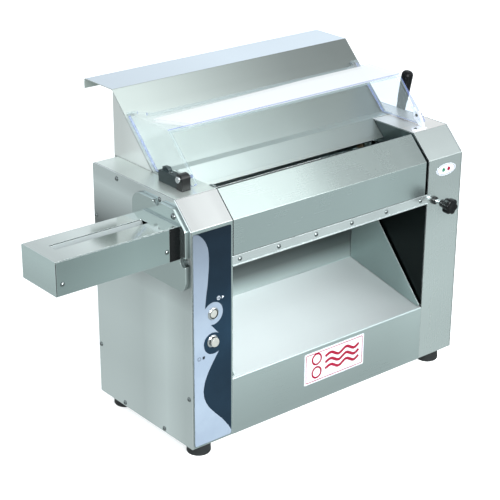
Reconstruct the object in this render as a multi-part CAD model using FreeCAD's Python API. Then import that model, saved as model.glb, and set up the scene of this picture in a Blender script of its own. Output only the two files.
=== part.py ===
import FreeCAD, Part
import math
import os

from FreeCAD import Vector

# Bench-top electric dough sheeter with a side-mounted pasta-cutting head.
# Two side columns carry a pair of rollers; dough is fed down a 45 degree
# chute under a hinged guard, passes the roller gap and slides out at the
# front.  A chain from a gear motor in the base turns the front roller; the
# rear roller is geared to it and rides in sliding bearing carriers that two
# cams and a lever move to set the gap.
#
# Millimetres, +Z up.  X = 0 is the left outer face, Y = 0 the front face and
# Z = 0 the underside of the casing; DATUM shifts all pieces on export.
# A 2D point is (y, z) on axis "x", (x, z) on axis "y" and (x, y) on axis "z".

# ---- driving dimensions -----------------------------------------------------
WIDTH = 613.0
DEPTH = 270.0
HEIGHT = 432.0
FACE_HEIGHT = 390.0            # height of the vertical front face
INNER_WIDTH = 445.0            # clear width between the columns
LEFT_X = (WIDTH - INNER_WIDTH) / 2     # inner faces of the columns
RIGHT_X = WIDTH - LEFT_X
SHEET = 1.5                    # sheet thickness
PLATE_X = LEFT_X - 8.0         # outer face of the 8 mm left side plate
FIT = 0.02                     # gap between parts that touch
RUN = 0.05                     # running clearance on radius
DECK_Z = HEIGHT + FIT          # underside of parts seated on the columns
FOOT_HEIGHT = 25.0
FOOT_R = 21.0
DATUM = Vector(-200.2, -158.0, FOOT_HEIGHT)

ROLLER_R = 30.0
ROLLER_X = (LEFT_X + 8.0, RIGHT_X - 8.0)
ROLLER_Z = 366.0
FRONT_Y = 52.5                 # front, driven roller
GAP = 0.5                      # roller gap with the lever at rest
REAR_Y = FRONT_Y + 2 * ROLLER_R + GAP
FRONT_AXIS = (FRONT_Y, ROLLER_Z)
REAR_AXIS = (REAR_Y, ROLLER_Z)
JOURNAL_R = 12.5
GAP_TRAVEL = 8.0               # rear roller travel
LEVER_DEG = 75.0               # lever travel for the full gap
LEAN_DEG = 10.72               # lever lean towards the front at rest
ADJUST_AXIS = (182.0, ROLLER_Z)        # gap adjusting cross shaft
SHAFT_R = 10.0                 # adjuster shaft and drive shaft
CAM_R = 22.0                   # cam radius with the gap closed
SLOT_Y = (86.0, 148.0)         # carrier slots in the side plates
SLOT_Z = (342.0, 390.0)

PITCH = 12.7                   # roller chain
TEETH = 16                     # on both sprockets
STRAND = 25                    # links in each straight strand
CHAIN_X = 48.0                 # plane of the chain
DRIVE_Y = 150.5                # gear motor shaft
SPROCKET_R = PITCH / (2 * math.sin(math.pi / TEETH))
DRIVE_Z = ROLLER_Z - math.sqrt((STRAND * PITCH) ** 2 - (DRIVE_Y - FRONT_Y) ** 2)
DRIVE_AXIS = (DRIVE_Y, DRIVE_Z)

HINGE_AXIS = (69.5, 451.0)     # guard hinge
CHUTE_X = (49.0, 578.0)

# hole and fitting positions
FEET = [(x, y) for x in (33.0, WIDTH - 33.0) for y in (28.0, DEPTH - 28.0)]
SIDE_SCREWS = [(199.8, 422.0), (81.0, 421.5), (264.3, 338.0), (264.3, 94.0),
               (195.6, 6.0), (80.0, 6.0), (9.0, 92.0), (10.5, 337.5)]
BRACKET_Z = (38, 215, 405)
REAR_SCREWS = [(x, z) for x in (LEFT_X + 12, RIGHT_X - 12) for z in BRACKET_Z]
TIES = [(26.0, 40.0), (238.0, 40.0), (238.0, 395.0)]
CHEEK_SCREWS = [(CHUTE_X[0] + 9.0, y) for y in (200.0, 250.0)]
CHEEK_SCREWS_RIGHT = [(CHUTE_X[0] + CHUTE_X[1] - x, y) for x, y in CHEEK_SCREWS]
SWITCH_SCREWS = [(40.0, 85.0), (40.0, 103.0)]
HINGE_SCREW_AT = (545.0, 53.5)
FLANGE_BOLTS = [(35.6, 408.2), (132.0, 345.0), (132.0, 302.0)]
SCRAPER_SCREWS = [(x, 319.5) for x in (99.3, 181.8, 263.9, 345.4, 427.4, 511.4)]
START_AT = (43.3, 238.7)
STOP_AT = (42.0, 189.7)
KNOB_AT = (546.0, 313.3)
CABLE_AT = (470.0, 60.0)

# screw sizes: head radius, head height, shank radius, shank length, socket radius
COVER_SCREW = (4.4, 2.5, 2.0, 5.0, 1.5)
CHUTE_SCREW = (4.0, 2.2, 2.0, 6.0, 1.4)
SWITCH_SCREW = (3.6, 2.0, 2.0, 23.5, 1.3)
HINGE_SCREW = (3.4, 1.6, 2.0, 6.0, 1.2)
SCRAPER_SCREW = (4.2, 2.4, 2.0, 5.5, 1.5)
CUTTER_SCREW = (4.0, 2.4, 2.0, 7.0, 1.4)
FLANGE_BOLT = (5.4, 3.8, 3.0, 11.0, 2.0)
TIE_BOLT = (7.5, 5.0, 3.96, 20.0, 3.2)
FOOT_BOLT = (7.0, 5.5, 4.0, 14.0, 3.2)

AXES = {"x": Vector(1, 0, 0), "y": Vector(0, 1, 0), "z": Vector(0, 0, 1)}
ORIGIN = Vector(0, 0, 0)
nodes = {}                     # node name: list of shapes


# ---- helpers ----------------------------------------------------------------
def add(node, *shapes):
    nodes.setdefault(node, []).extend(shapes)


def point3(axis, point, level):
    """3D point from a 2D point and its position along the axis."""
    a, b = point
    return {"x": Vector(level, a, b), "y": Vector(a, level, b), "z": Vector(a, b, level)}[axis]


def unit(start, end):
    length = math.dist(start, end)
    return (end[0] - start[0]) / length, (end[1] - start[1]) / length


def along(point, direction, distance):
    return point[0] + direction[0] * distance, point[1] + direction[1] * distance


def polar(center, radius, angle):
    return center[0] + radius * math.cos(angle), center[1] + radius * math.sin(angle)


def rectangle(a0, a1, b0, b1):
    return [(a0, b0), (a1, b0), (a1, b1), (a0, b1)]


def hexagon(center, radius):
    return [polar(center, radius, math.radians(60 * k)) for k in range(6)]


def box(x0, x1, y0, y1, z0, z1):
    return Part.makeBox(x1 - x0, y1 - y0, z1 - z0, Vector(x0, y0, z0))


def cylinder(axis, start, end, center, radius):
    return Part.makeCylinder(radius, end - start, point3(axis, center, start), AXES[axis])


def tube(axis, start, end, center, outer_r, inner_r):
    return cylinder(axis, start, end, center, outer_r).cut(
        cylinder(axis, start - 1, end + 1, center, inner_r))


def round_corner(before, corner, after, radius):
    """Start, middle and end of the corner's arc; the middle is None if it stays sharp."""
    if radius <= 1e-6:
        return corner, None, corner
    back, ahead = unit(corner, before), unit(corner, after)
    cosine = back[0] * ahead[0] + back[1] * ahead[1]
    angle = math.acos(max(-1, min(1, cosine)))
    if math.pi - angle < 1e-3:
        return corner, None, corner
    setback = radius / math.tan(angle / 2)
    bisector = unit((0, 0), (back[0] + ahead[0], back[1] + ahead[1]))
    middle = along(corner, bisector, radius / math.sin(angle / 2) - radius)
    return along(corner, back, setback), middle, along(corner, ahead, setback)


def prism(axis, corners, start, end, radii=0.0):
    """Extruded polygon; radii is one corner radius or a list with one per corner."""
    count = len(corners)
    if not isinstance(radii, (list, tuple)):
        radii = [radii] * count
    rounds = [round_corner(corners[i - 1], corners[i], corners[(i + 1) % count], radii[i])
              for i in range(count)]
    edges = []
    for i, (arc_start, middle, arc_end) in enumerate(rounds):
        if middle is not None:
            arc = [point3(axis, p, start) for p in (arc_start, middle, arc_end)]
            edges.append(Part.Arc(*arc).toShape())
        following = rounds[(i + 1) % count][0]
        if math.dist(following, arc_end) > 1e-6:
            edges.append(Part.LineSegment(point3(axis, arc_end, start),
                                          point3(axis, following, start)).toShape())
    return Part.Face(Part.Wire(edges)).extrude(AXES[axis] * (end - start))


def shift_corner(corner, before, after, distance):
    """Corner between two edge directions once both edges move right by distance."""
    scale = distance / (1 + before[0] * after[0] + before[1] * after[1])
    return (corner[0] + (before[1] + after[1]) * scale,
            corner[1] - (before[0] + after[0]) * scale)


def inset(corners, distance):
    """Offset a convex counter-clockwise polygon inwards."""
    count = len(corners)
    ways = [unit(corners[i], corners[(i + 1) % count]) for i in range(count)]
    return [shift_corner(corners[i], ways[i - 1], ways[i], -distance) for i in range(count)]


def sheet(axis, path, thickness, start, end, bend_r=2.0):
    """Bent sheet on the right of a path, or on its left if thickness is negative.

    bend_r is the inside bend radius, or the outside one if thickness is negative.
    """
    ways = [unit(path[i], path[i + 1]) for i in range(len(path) - 1)]
    offset, path_radii, offset_radii = [], [], []
    for i, corner in enumerate(path):
        before, after = ways[max(i - 1, 0)], ways[min(i, len(ways) - 1)]
        offset.append(shift_corner(corner, before, after, thickness))
        if i in (0, len(path) - 1):
            near = far = 0.0
        elif before[0] * after[1] - before[1] * after[0] > 0:
            near, far = bend_r, bend_r + thickness
        else:
            near, far = bend_r + thickness, bend_r
        path_radii.append(near)
        offset_radii.append(far)
    return prism(axis, list(path) + offset[::-1], start, end, path_radii + offset_radii[::-1])


def placed(solid, axis, level, point):
    """Turn a solid built on the Z axis onto the given axis and move it there."""
    if axis == "x":
        solid.rotate(ORIGIN, AXES["y"], 90)
    elif axis == "y":
        solid.rotate(ORIGIN, AXES["x"], -90)
    solid.translate(point3(axis, point, level))
    return solid


def lathe(axis, profile, center):
    """Solid of revolution from a closed profile of (along axis, radius) points."""
    corners = [Vector(radius, 0, level) for level, radius in profile]
    face = Part.Face(Part.makePolygon(corners + corners[:1]))
    return placed(face.revolve(ORIGIN, AXES["z"], 360), axis, 0, center)


def screw(axis, seat, point, outward, size, domed=True):
    """Socket screw with its head on the plane seat, facing +1 or -1 along the axis."""
    head_r, head_h, shank_r, shank_length, socket_r = size
    if domed:
        dome_r = (head_r ** 2 + head_h ** 2) / (2 * head_h)
        profile = [(0.0, head_r)]
        for i in range(1, 8):
            r = head_r * (1 - i / 7)
            profile.append((math.sqrt(dome_r ** 2 - r * r) - (dome_r - head_h), r))
    else:
        profile = [(0.0, head_r), (head_h * 0.85, head_r), (head_h, head_r * 0.9), (head_h, 0.0)]
    profile += [(-shank_length, 0.0), (-shank_length, shank_r), (0.0, shank_r)]
    solid = lathe("z", profile, (0, 0))
    solid = solid.cut(prism("z", hexagon((0, 0), socket_r), head_h * 0.45, head_h + 2))
    if outward < 0:
        solid.rotate(ORIGIN, AXES["x"], 180)
    return placed(solid, axis, seat, point)


def cut_all(solid, tools):
    for tool in tools:
        solid = solid.cut(tool)
    return solid


def drill(solid, axis, start, end, points, radius):
    return cut_all(solid, [cylinder(axis, start, end, p, radius) for p in points])


def fuse(first, *others):
    for other in others:
        first = first.fuse(other)
    return first.removeSplitter()


def mirror_x(shape, center=WIDTH / 2):
    return shape.mirror(Vector(center, 0, 0), AXES["x"])


def add_pair(node, shape):
    """Add a left-hand shape and its mirror image on the right."""
    add(node, shape, mirror_x(shape))


# ---- columns ----------------------------------------------------------------
# side view with a 45 degree chamfer at the top front
OUTLINE = [(0, 0), (DEPTH, 0), (DEPTH, HEIGHT), (HEIGHT - FACE_HEIGHT, HEIGHT),
           (0, FACE_HEIGHT)]
OUTLINE_RADII = [2.0, 2.0, 5.0, 3.0, 3.0]


def plain_shell():
    """Left column wall with an inner flange behind the side cover."""
    outer = prism("x", OUTLINE, 2.4, LEFT_X, OUTLINE_RADII)
    inner = prism("x", inset(OUTLINE, SHEET), 1.0, LEFT_X + 1, [0.6, 0.6, 3.5, 1.5, 1.5])
    flange = prism("x", inset(OUTLINE, 1.1), SHEET, SHEET + 1.6, [1.2, 1.2, 4, 2, 2])
    window = prism("x", inset(OUTLINE, 13.5), 1.0, SHEET + 3, 3)
    shell = fuse(outer.cut(inner), flange.cut(window))
    shell = drill(shell, "x", 0, 6, SIDE_SCREWS, 2.1)
    return drill(shell, "z", -2, 4, FEET[:2], 4.2)


def left_shell():
    shell = drill(plain_shell(), "y", -1, 3, [START_AT, STOP_AT], 8.2)
    shell = drill(shell, "z", HEIGHT - 4, HEIGHT + 1, CHEEK_SCREWS + SWITCH_SCREWS, 2.1)
    return drill(shell, "x", -1, 6, FLANGE_BOLTS, 3.1)


def right_shell():
    shell = drill(mirror_x(plain_shell()), "y", -1, 3, [KNOB_AT], 5.0)
    top_holes = [HINGE_SCREW_AT] + CHEEK_SCREWS_RIGHT
    return drill(shell, "z", HEIGHT - 4, HEIGHT + 1, top_holes, 2.1)


def side_plate(has_drive_hole):
    """Structural plate that closes the left column towards the rollers."""
    x0, x1 = PLATE_X - 1, LEFT_X + 1
    plate = prism("x", inset(OUTLINE, SHEET + 0.1), PLATE_X, LEFT_X, 5)
    plate = plate.cut(cylinder("x", x0, x1, FRONT_AXIS, 17.5 + FIT))
    plate = plate.cut(box(x0, x1, *SLOT_Y, *SLOT_Z))
    plate = plate.cut(cylinder("x", x0, x1, ADJUST_AXIS, 14.0 + FIT))
    if has_drive_hole:
        plate = plate.cut(cylinder("x", x0, x1, DRIVE_AXIS, 26.0))
    return drill(plate, "x", x0, x1, TIES, 4.2)


add("left_column_shell", left_shell())
add("right_column_shell", right_shell())
add("side_plates", side_plate(True), mirror_x(side_plate(False)))

# side covers
plain_cover = drill(prism("x", OUTLINE, 0.0, SHEET, OUTLINE_RADII), "x", -1, 3, SIDE_SCREWS, 2.6)
left_cover = drill(plain_cover, "x", -1, 3, [FRONT_AXIS], 22.0)
add("left_side_cover", drill(left_cover, "x", -1, 3, FLANGE_BOLTS, 3.1))
add("right_side_cover",
    drill(mirror_x(plain_cover), "x", WIDTH - 3, WIDTH + 1, [ADJUST_AXIS], 15.0))
for at in SIDE_SCREWS:
    add("button_head_screws", screw("x", 0.0, at, -1, COVER_SCREW),
        screw("x", WIDTH, at, 1, COVER_SCREW))

# base pan
add("base_pan", sheet("x", [(1.7, 22.0), (1.7, 0.0), (DEPTH - 1.7, 0.0), (DEPTH - 1.7, 22.0)],
                      -SHEET, LEFT_X + 0.1, RIGHT_X - 0.1, 1.5))

# rear cover with twelve slots and the cable hole
rear_cover = box(LEFT_X + 0.1, RIGHT_X - 0.1, DEPTH - SHEET, DEPTH, 0.5, HEIGHT - 1.7)
for k in range(12):
    z = 70.0 + 9.0 * k
    slot = prism("y", rectangle(240, 370, z, z + 3.5), DEPTH - 3, DEPTH + 1, 1.7)
    rear_cover = rear_cover.cut(slot)
rear_cover = drill(rear_cover, "y", DEPTH - 3, DEPTH + 1, [CABLE_AT], 10.2)
add("rear_cover", drill(rear_cover, "y", DEPTH - 3, DEPTH + 1, REAR_SCREWS, 2.6))

# angle brackets on the side plates take the rear cover screws
for z in BRACKET_Z:
    bracket = fuse(box(LEFT_X + FIT, LEFT_X + 2, DEPTH - 20, DEPTH - 3.5, z - 10, z + 10),
                   box(LEFT_X + FIT, LEFT_X + 22, DEPTH - 3.5, DEPTH - 1.52, z - 10, z + 10))
    add_pair("small_brackets", drill(bracket, "y", DEPTH - 5, DEPTH, [(LEFT_X + 12, z)], 2.1))
for at in REAR_SCREWS:
    add("button_head_screws", screw("y", DEPTH, at, 1, COVER_SCREW))

# tie bars between the side plates
for at in TIES:
    add("tie_bars", cut_all(cylinder("x", LEFT_X, RIGHT_X, at, 9.0),
                            [cylinder("x", LEFT_X - 1, LEFT_X + 18, at, 4.0),
                             cylinder("x", RIGHT_X - 18, RIGHT_X + 1, at, 4.0)]))
    add("socket_bolts", screw("x", PLATE_X, at, -1, TIE_BOLT, domed=False),
        screw("x", WIDTH - PLATE_X, at, 1, TIE_BOLT, domed=False))

# feet
FOOT_PROFILE = [
    (-FOOT_HEIGHT, 0.0), (-FOOT_HEIGHT, FOOT_R - 3), (-FOOT_HEIGHT + 1, FOOT_R - 1.2),
    (-FOOT_HEIGHT + 3, FOOT_R), (-8, FOOT_R - 0.8), (-3, FOOT_R - 1.6), (-1.2, FOOT_R - 2.4),
    (-FIT, FOOT_R - 4.0), (-FIT, 4.1), (-14, 4.1), (-14, 0.0)]
for at in FEET:
    add("rubber_feet", lathe("z", FOOT_PROFILE, at))
    add("socket_bolts", screw("z", SHEET, at, 1, FOOT_BOLT, domed=False))

# ---- infeed chute -----------------------------------------------------------
SHELF_Z = 547.0
CHUTE_RISE = 269.0             # Z - Y on top of the inclined plate
LIP_Z = HEIGHT + SHEET
PANEL_Y = 275.0                # rear edge of the cheeks

# shelf, 45 degree plate and lip, then the lower guide between the columns
add("infeed_chute_plate", fuse(
    sheet("x", [(362.0, 529.0), (362.0, SHELF_Z), (SHELF_Z - CHUTE_RISE, SHELF_Z),
                (LIP_Z - CHUTE_RISE, LIP_Z), (147.0, LIP_Z)], -SHEET, *CHUTE_X, 4.0),
    sheet("x", [(155.0, LIP_Z), (146.5, LIP_Z), (117.5, LIP_Z - 29.0)],
          -SHEET, LEFT_X + 0.6, RIGHT_X - 0.6, 2.0)))

# triangular cheeks with foot flanges, and the panel behind them
cheek = fuse(prism("x", [(168.2, DECK_Z), (PANEL_Y, DECK_Z), (PANEL_Y, 541.2)],
                   CHUTE_X[0], CHUTE_X[0] + SHEET),
             box(CHUTE_X[0] + SHEET, CHUTE_X[0] + 16, 178.0, 272.0, DECK_Z, DECK_Z + SHEET))
cheek = drill(cheek, "z", HEIGHT - 1, HEIGHT + 3, CHEEK_SCREWS, 2.2)
add("chute_side_panels", cheek, mirror_x(cheek, sum(CHUTE_X) / 2),
    box(*CHUTE_X, PANEL_Y + FIT, PANEL_Y + FIT + SHEET, HEIGHT - 6.0, 541.5))
for pair in zip(CHEEK_SCREWS, CHEEK_SCREWS_RIGHT):
    for at in pair:
        add("button_head_screws", screw("z", DECK_Z + SHEET, at, 1, CHUTE_SCREW))

# ---- guard and its hinges ---------------------------------------------------
GUARD_X = (51.5, 571.5)
GUARD_T = 5.0
GUARD_TOP = 515.0
GUARD_RISE = 387.0             # Z - Y on the inclined front of the guard
GUARD_FRONT_Y = 55.6           # lower edge of the inclined front
GUARD_REAR_Y = 240.0
EDGE_Z = 434.6                 # lower edge of the guard sides
EAR_X = (GUARD_X[1] - GUARD_T - 3.6, GUARD_X[1] - GUARD_T - 0.4)
HINGE_BORE_R = 3.05


def safety_guard():
    x0, x1 = GUARD_X
    rear = GUARD_REAR_Y
    diagonal = GUARD_T * math.sqrt(2)
    crest = (GUARD_TOP - GUARD_RISE, GUARD_TOP)
    top = prism("z", [(x0, 126.0), (x1, 126.0), (x1, rear), (x1 - 17, rear), (x1 - 30, 213.0),
                      (x0 + 30, 213.0), (x0 + 17, rear), (x0, rear)],
                GUARD_TOP - GUARD_T, GUARD_TOP, [0, 0, 3, 8, 14, 14, 8, 3])
    low_z = GUARD_FRONT_Y + GUARD_RISE
    front = prism("x", [crest, (GUARD_FRONT_Y, low_z),
                        (GUARD_FRONT_Y + diagonal / 2, low_z - diagonal / 2),
                        (crest[0] - GUARD_T + diagonal, GUARD_TOP - GUARD_T),
                        (crest[0] + 6, GUARD_TOP)], x0, x1, [2.0, 0.6, 0.6, 0, 0])
    # the lower front corner of each side is an arc about the hinge
    arc = [polar(HINGE_AXIS, HINGE_AXIS[1] - EDGE_Z, math.radians(217.5 + 52.5 * k / 5))
           for k in range(6)]
    side = prism("x", [crest, (56.4, 443.4)] + arc
                 + [(161.2, EDGE_Z), (237.4, 510.8), (rear, 513.0), (rear, GUARD_TOP)],
                 x0, x0 + GUARD_T, [2.0] + [0] * 7 + [4, 0, 0, 0])
    guard = fuse(top, front, side, side.translated(Vector(x1 - x0 - GUARD_T, 0, 0)))
    guard = guard.cut(cylinder("x", x0 - 1, x0 + GUARD_T + 0.01, HINGE_AXIS, HINGE_BORE_R))
    guard = guard.cut(cylinder("x", x1 - GUARD_T, x1 + 1, HINGE_AXIS, HINGE_BORE_R))
    # room for the right hinge ear
    return guard.cut(box(EAR_X[0] - 0.8, x1 - GUARD_T, 50.0, 84.0, 430.0, 464.5))


def interlock_switch():
    """Housing behind the left hinge."""
    body = prism("x", rectangle(76.52, 128.0, DECK_Z, 451.5), 33.0, 47.5, [0.3, 1.0, 1.5, 0.3])
    crown = prism("x", [(110.0, 450.0), (127.0, 450.0), (127.0, 455.5), (122.0, 456.5),
                        (113.0, 456.5)], 40.5, 47.5, [0, 0, 1.2, 2.0, 2.0])
    stub = prism("x", rectangle(127.0, 132.0, 438.0, 446.0), 35.5, 42.0, [0, 1.5, 1.5, 0])
    return drill(fuse(body, crown, stub), "z", 430, 470, SWITCH_SCREWS, 2.2)


def hinge_left():
    nose = prism("x", rectangle(61.5, 76.5, DECK_Z, 459.0), 31.0, 47.5, [1.5, 0.3, 2.5, 8.0])
    return nose.cut(cylinder("x", 30, 51, HINGE_AXIS, HINGE_BORE_R))


def hinge_right():
    foot = prism("z", rectangle(537.0, EAR_X[1], 46.5, 60.5), DECK_Z, HEIGHT + 2.0,
                 [6.9, 0.5, 0.5, 6.9])
    ear = prism("x", [(50.0, DECK_Z), (60.0, DECK_Z), (76.5, 444.5), (77.5, 458.5),
                      (63.5, 459.0)], *EAR_X, [1, 3, 5, 6.5, 6.5])
    hinge = fuse(foot, ear)
    hinge = hinge.cut(cylinder("x", EAR_X[0] - 1, EAR_X[1] + 1, HINGE_AXIS, HINGE_BORE_R))
    return hinge.cut(cylinder("z", 430, 440, HINGE_SCREW_AT, 2.2))


add("safety_guard", safety_guard())
add("interlock_switch", interlock_switch())
add("guard_hinges", hinge_left(), hinge_right())
left_pin_end = GUARD_X[0] + GUARD_T - FIT
add("guard_pins",
    lathe("x", [(26.5, 0), (26.5, 4.6), (27.2, 5.4), (29.5, 5.4), (30.0, 5.0), (30.8, 5.0),
                (30.8, 3.0), (left_pin_end, 3.0), (left_pin_end, 0)], HINGE_AXIS),
    lathe("x", [(EAR_X[0] - 0.6, 0), (EAR_X[0] - 0.6, 3.0), (GUARD_X[1] + FIT, 3.0),
                (GUARD_X[1] + FIT, 4.6), (GUARD_X[1] + 1.4, 4.4), (GUARD_X[1] + 1.9, 3.6),
                (GUARD_X[1] + 1.9, 0)], HINGE_AXIS))
for at in SWITCH_SCREWS:
    add("button_head_screws", screw("z", 451.5, at, 1, SWITCH_SCREW))
add("button_head_screws", screw("z", HEIGHT + 2.0, HINGE_SCREW_AT, 1, HINGE_SCREW))

# ---- front cover and scraper ------------------------------------------------
FRONT_COVER_X = (86.0, 521.5)
BLADE_X = (ROLLER_X[0] + 1, ROLLER_X[1] - 1)
COVER_END = [(SHEET, 330.0), (SHEET, FACE_HEIGHT - 0.7), (42.6, 430.0), (46.0, 424.8),
             (46.0, 414.0), (14.0, 382.0), (14.0, 330.0)]
add("front_cover", fuse(
    sheet("x", [(47.0, 424.5), (42.0, HEIGHT), (0.0, FACE_HEIGHT), (0.0, 328.8)],
          -SHEET, *FRONT_COVER_X, 1.5),
    prism("x", COVER_END, FRONT_COVER_X[0], FRONT_COVER_X[0] + SHEET),
    prism("x", COVER_END, FRONT_COVER_X[1] - SHEET, FRONT_COVER_X[1])))

scraper_bar = prism("x", [(6.0, 310.0), (6.0, 326.5), (1.0, 327.7), (0.0, 327.7), (0.0, 312.0),
                          (-1.6, 311.6), (-1.6, 310.0)],
                    LEFT_X, RIGHT_X, [0.3, 0.5, 0.5, 0.8, 0.4, 0.4, 0.4])
add("front_scraper", drill(scraper_bar, "y", -3, 8, SCRAPER_SCREWS, 2.1),
    sheet("x", [(7.3, 326.0), (7.3, 313.0), (37.4, 339.6)], 1.2, *BLADE_X, 1.0))
for at in SCRAPER_SCREWS:
    add("button_head_screws", screw("y", 0.0, at, -1, SCRAPER_SCREW))

# ---- outfeed chute ----------------------------------------------------------
add("outfeed_chute", sheet("x", [(0.0, 0.4), (0.0, 106.0), (188.0, 146.0), (188.0, 335.0)],
                           SHEET, LEFT_X + 0.3, RIGHT_X - 0.3, 2.0))
OUTFEED_CHEEK = [(5.0, 107.6), (187.0, 146.3), (187.0, 304.0), (170.0, 304.0), (117.0, 243.0),
                 (2.5, 112.0)]
for x in (89.0, 525.0 - SHEET):
    add("outfeed_cheeks", prism("x", OUTFEED_CHEEK, x, x + SHEET))

# ---- main rollers and bushes ------------------------------------------------
# barrel and right journal, shared by both rollers
BARREL = [(ROLLER_X[0], JOURNAL_R), (ROLLER_X[0], ROLLER_R - 1), (ROLLER_X[0] + 1, ROLLER_R),
          (ROLLER_X[1] - 1, ROLLER_R), (ROLLER_X[1], ROLLER_R - 1), (ROLLER_X[1], JOURNAL_R),
          (541.0, JOURNAL_R), (542.0, JOURNAL_R - 1), (542.0, 0.0)]
front_roller = lathe("x", [(8.0, 0.0), (8.0, 9.0), (9.0, 10.0), (40.0, 10.0),
                           (40.0, JOURNAL_R)] + BARREL, FRONT_AXIS)
# slot for the cutter tongue
add("front_roller", front_roller.cut(
    box(7.0, 20.0, FRONT_Y - 2.6, FRONT_Y + 2.6, ROLLER_Z - 12, ROLLER_Z + 12)))
add("rear_roller", lathe("x", [(58.0, 0.0), (58.0, JOURNAL_R - 1), (59.0, JOURNAL_R)] + BARREL,
                         REAR_AXIS))

BUSH_R = JOURNAL_R + RUN
add_pair("roller_bushes", lathe("x", [
    (74.0, BUSH_R), (74.0, 21.0), (PLATE_X - FIT, 21.0), (PLATE_X - FIT, 17.5), (86.0, 17.5),
    (86.0, BUSH_R)], FRONT_AXIS))
add_pair("roller_bushes", lathe("x", [
    (75.0, SHAFT_R + RUN), (75.0, 14.0), (LEFT_X + FIT, 14.0), (LEFT_X + FIT, 17.0),
    (LEFT_X + 3.0, 17.0), (LEFT_X + 3.0, SHAFT_R + RUN)], ADJUST_AXIS))
add_pair("carrier_bushes", lathe("x", [
    (74.0, BUSH_R), (74.0, 16.0), (86.0, 16.0), (86.0, BUSH_R)], REAR_AXIS))

# ---- bearing carriers, springs and rear scraper -----------------------------
CARRIER_FRONT = REAR_Y - 24.0
CARRIER_REAR = REAR_Y + 24.0
CARRIER_X = (PLATE_X - 4.1, PLATE_X - 0.1)     # flange outside the side plate
SPRING_X = PLATE_X - 2.1
SPRING_Z = 408.0
SPRING_R = 4.0
WIRE_R = 0.6


def carrier():
    """Block in the side plate slot with a flange, a cam finger and a spring arm."""
    solid = fuse(
        box(PLATE_X - 0.1, LEFT_X, CARRIER_FRONT, CARRIER_REAR, SLOT_Z[0] + RUN, SLOT_Z[1] - RUN),
        box(*CARRIER_X, CARRIER_FRONT + 2, CARRIER_REAR - 2, SLOT_Z[0] - 6, SLOT_Z[1] + 6),
        box(*CARRIER_X, CARRIER_REAR - 12, ADJUST_AXIS[0] - CAM_R - 0.3,
            ROLLER_Z - 10, ROLLER_Z + 10),
        box(*CARRIER_X, CARRIER_REAR - 14, CARRIER_REAR - 2, SLOT_Z[1] + 5, 414.0))
    solid = solid.cut(cylinder("x", PLATE_X - 6, LEFT_X + 4, REAR_AXIS, 16.0 + FIT))
    return solid.cut(cylinder("y", CARRIER_REAR - 20, CARRIER_REAR + 5, (SPRING_X, SPRING_Z), 1.1))


def carriage_spring():
    """Extension spring that pulls the carrier back against its cam."""
    helix = Part.makeHelix(1.6, 52.0, SPRING_R)
    section = []
    for k in range(10):
        x, z = polar((SPRING_R, 0), WIRE_R, math.radians(36 * k + 18))
        section.append(Vector(x, 0, z))
    section = Part.makePolygon(section + section[:1])
    spring = Part.Wire(helix.Edges).makePipeShell([section], True, True)
    spring.rotate(ORIGIN, AXES["x"], -90)
    spring.translate(Vector(SPRING_X - 3.2, CARRIER_REAR + 1.5, SPRING_Z))
    # the sweep may come back as a shell
    return spring if spring.ShapeType == "Solid" else Part.Solid(spring)


def spring_post():
    z0, z1 = SPRING_Z - 6.5, SPRING_Z + 6.5
    start = CARRIER_REAR + 56.5
    return fuse(box(SPRING_X - 8, SPRING_X - 1, start, start + 4, z0, z1),
                box(SPRING_X - 8, PLATE_X - FIT, start + 4, start + 8, z0, z1))


def rear_scraper_bar():
    """Bar between two brackets that ride with the carriers."""
    bracket = prism("x", [(REAR_Y + 14.5, SLOT_Z[0] + 2), (REAR_Y + 22, SLOT_Z[0] + 2),
                          (REAR_Y + 22, 334.0), (152.0, 330.0), (152.0, 315.0), (144.0, 315.0),
                          (REAR_Y + 14.5, 332.0)], LEFT_X + FIT, LEFT_X + 2.0)
    bar = box(LEFT_X + 2.0, RIGHT_X - 2.0, 145.0, 150.0, 316.0, 330.0)
    return fuse(bar, bracket, mirror_x(bracket))


add_pair("bearing_carriers", carrier())
add_pair("carriage_springs", carriage_spring())
add_pair("small_brackets", spring_post())
add("rear_scraper", rear_scraper_bar(),
    sheet("x", [(143.7, 329.0), (143.7, 317.0), (REAR_Y + 15.3, 339.9)], -1.2, *BLADE_X, 0.8))


# ---- gears, sprockets and chain ---------------------------------------------
def gear(x0, x1, center, teeth, tip, root, half_widths, bore, phase):
    """Straight-flanked spur gear; half_widths are at root, middle and tip."""
    flank = list(zip((root, (tip + root) / 2, tip), half_widths))
    points = []
    for k in range(teeth):
        angle = phase + 2 * math.pi * k / teeth
        points += [polar(center, r, angle - math.asin(h / r)) for r, h in flank]
        points += [polar(center, r, angle + math.asin(h / r)) for r, h in flank[::-1]]
    return prism("x", points, x0, x1).cut(cylinder("x", x0 - 1, x1 + 1, center, bore))


def roller_gear(center, phase):
    return gear(60.0, 71.5, center, teeth=12, tip=35.5, root=24.3, half_widths=(4.5, 3.1, 1.2),
                bore=JOURNAL_R + FIT, phase=phase)


SEAT_R = 4.4                   # roller seat in the sprockets
# one tooth space, (outwards from the chain roller, tangential)
TOOTH_SPACE = (
    [(4.6, -6.45), (2.4, -6.0), (0.9, -5.15)]
    + [(-SEAT_R * math.sin(math.radians(a)), -SEAT_R * math.cos(math.radians(a)))
       for a in range(10, 171, 20)]
    + [(0.9, 5.15), (2.4, 6.0), (4.6, 6.45)])
# direction square to the line of centres, towards the rear strand
SQUARE = math.atan2(DRIVE_Z - ROLLER_Z, DRIVE_Y - FRONT_Y) + math.pi / 2


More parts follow.
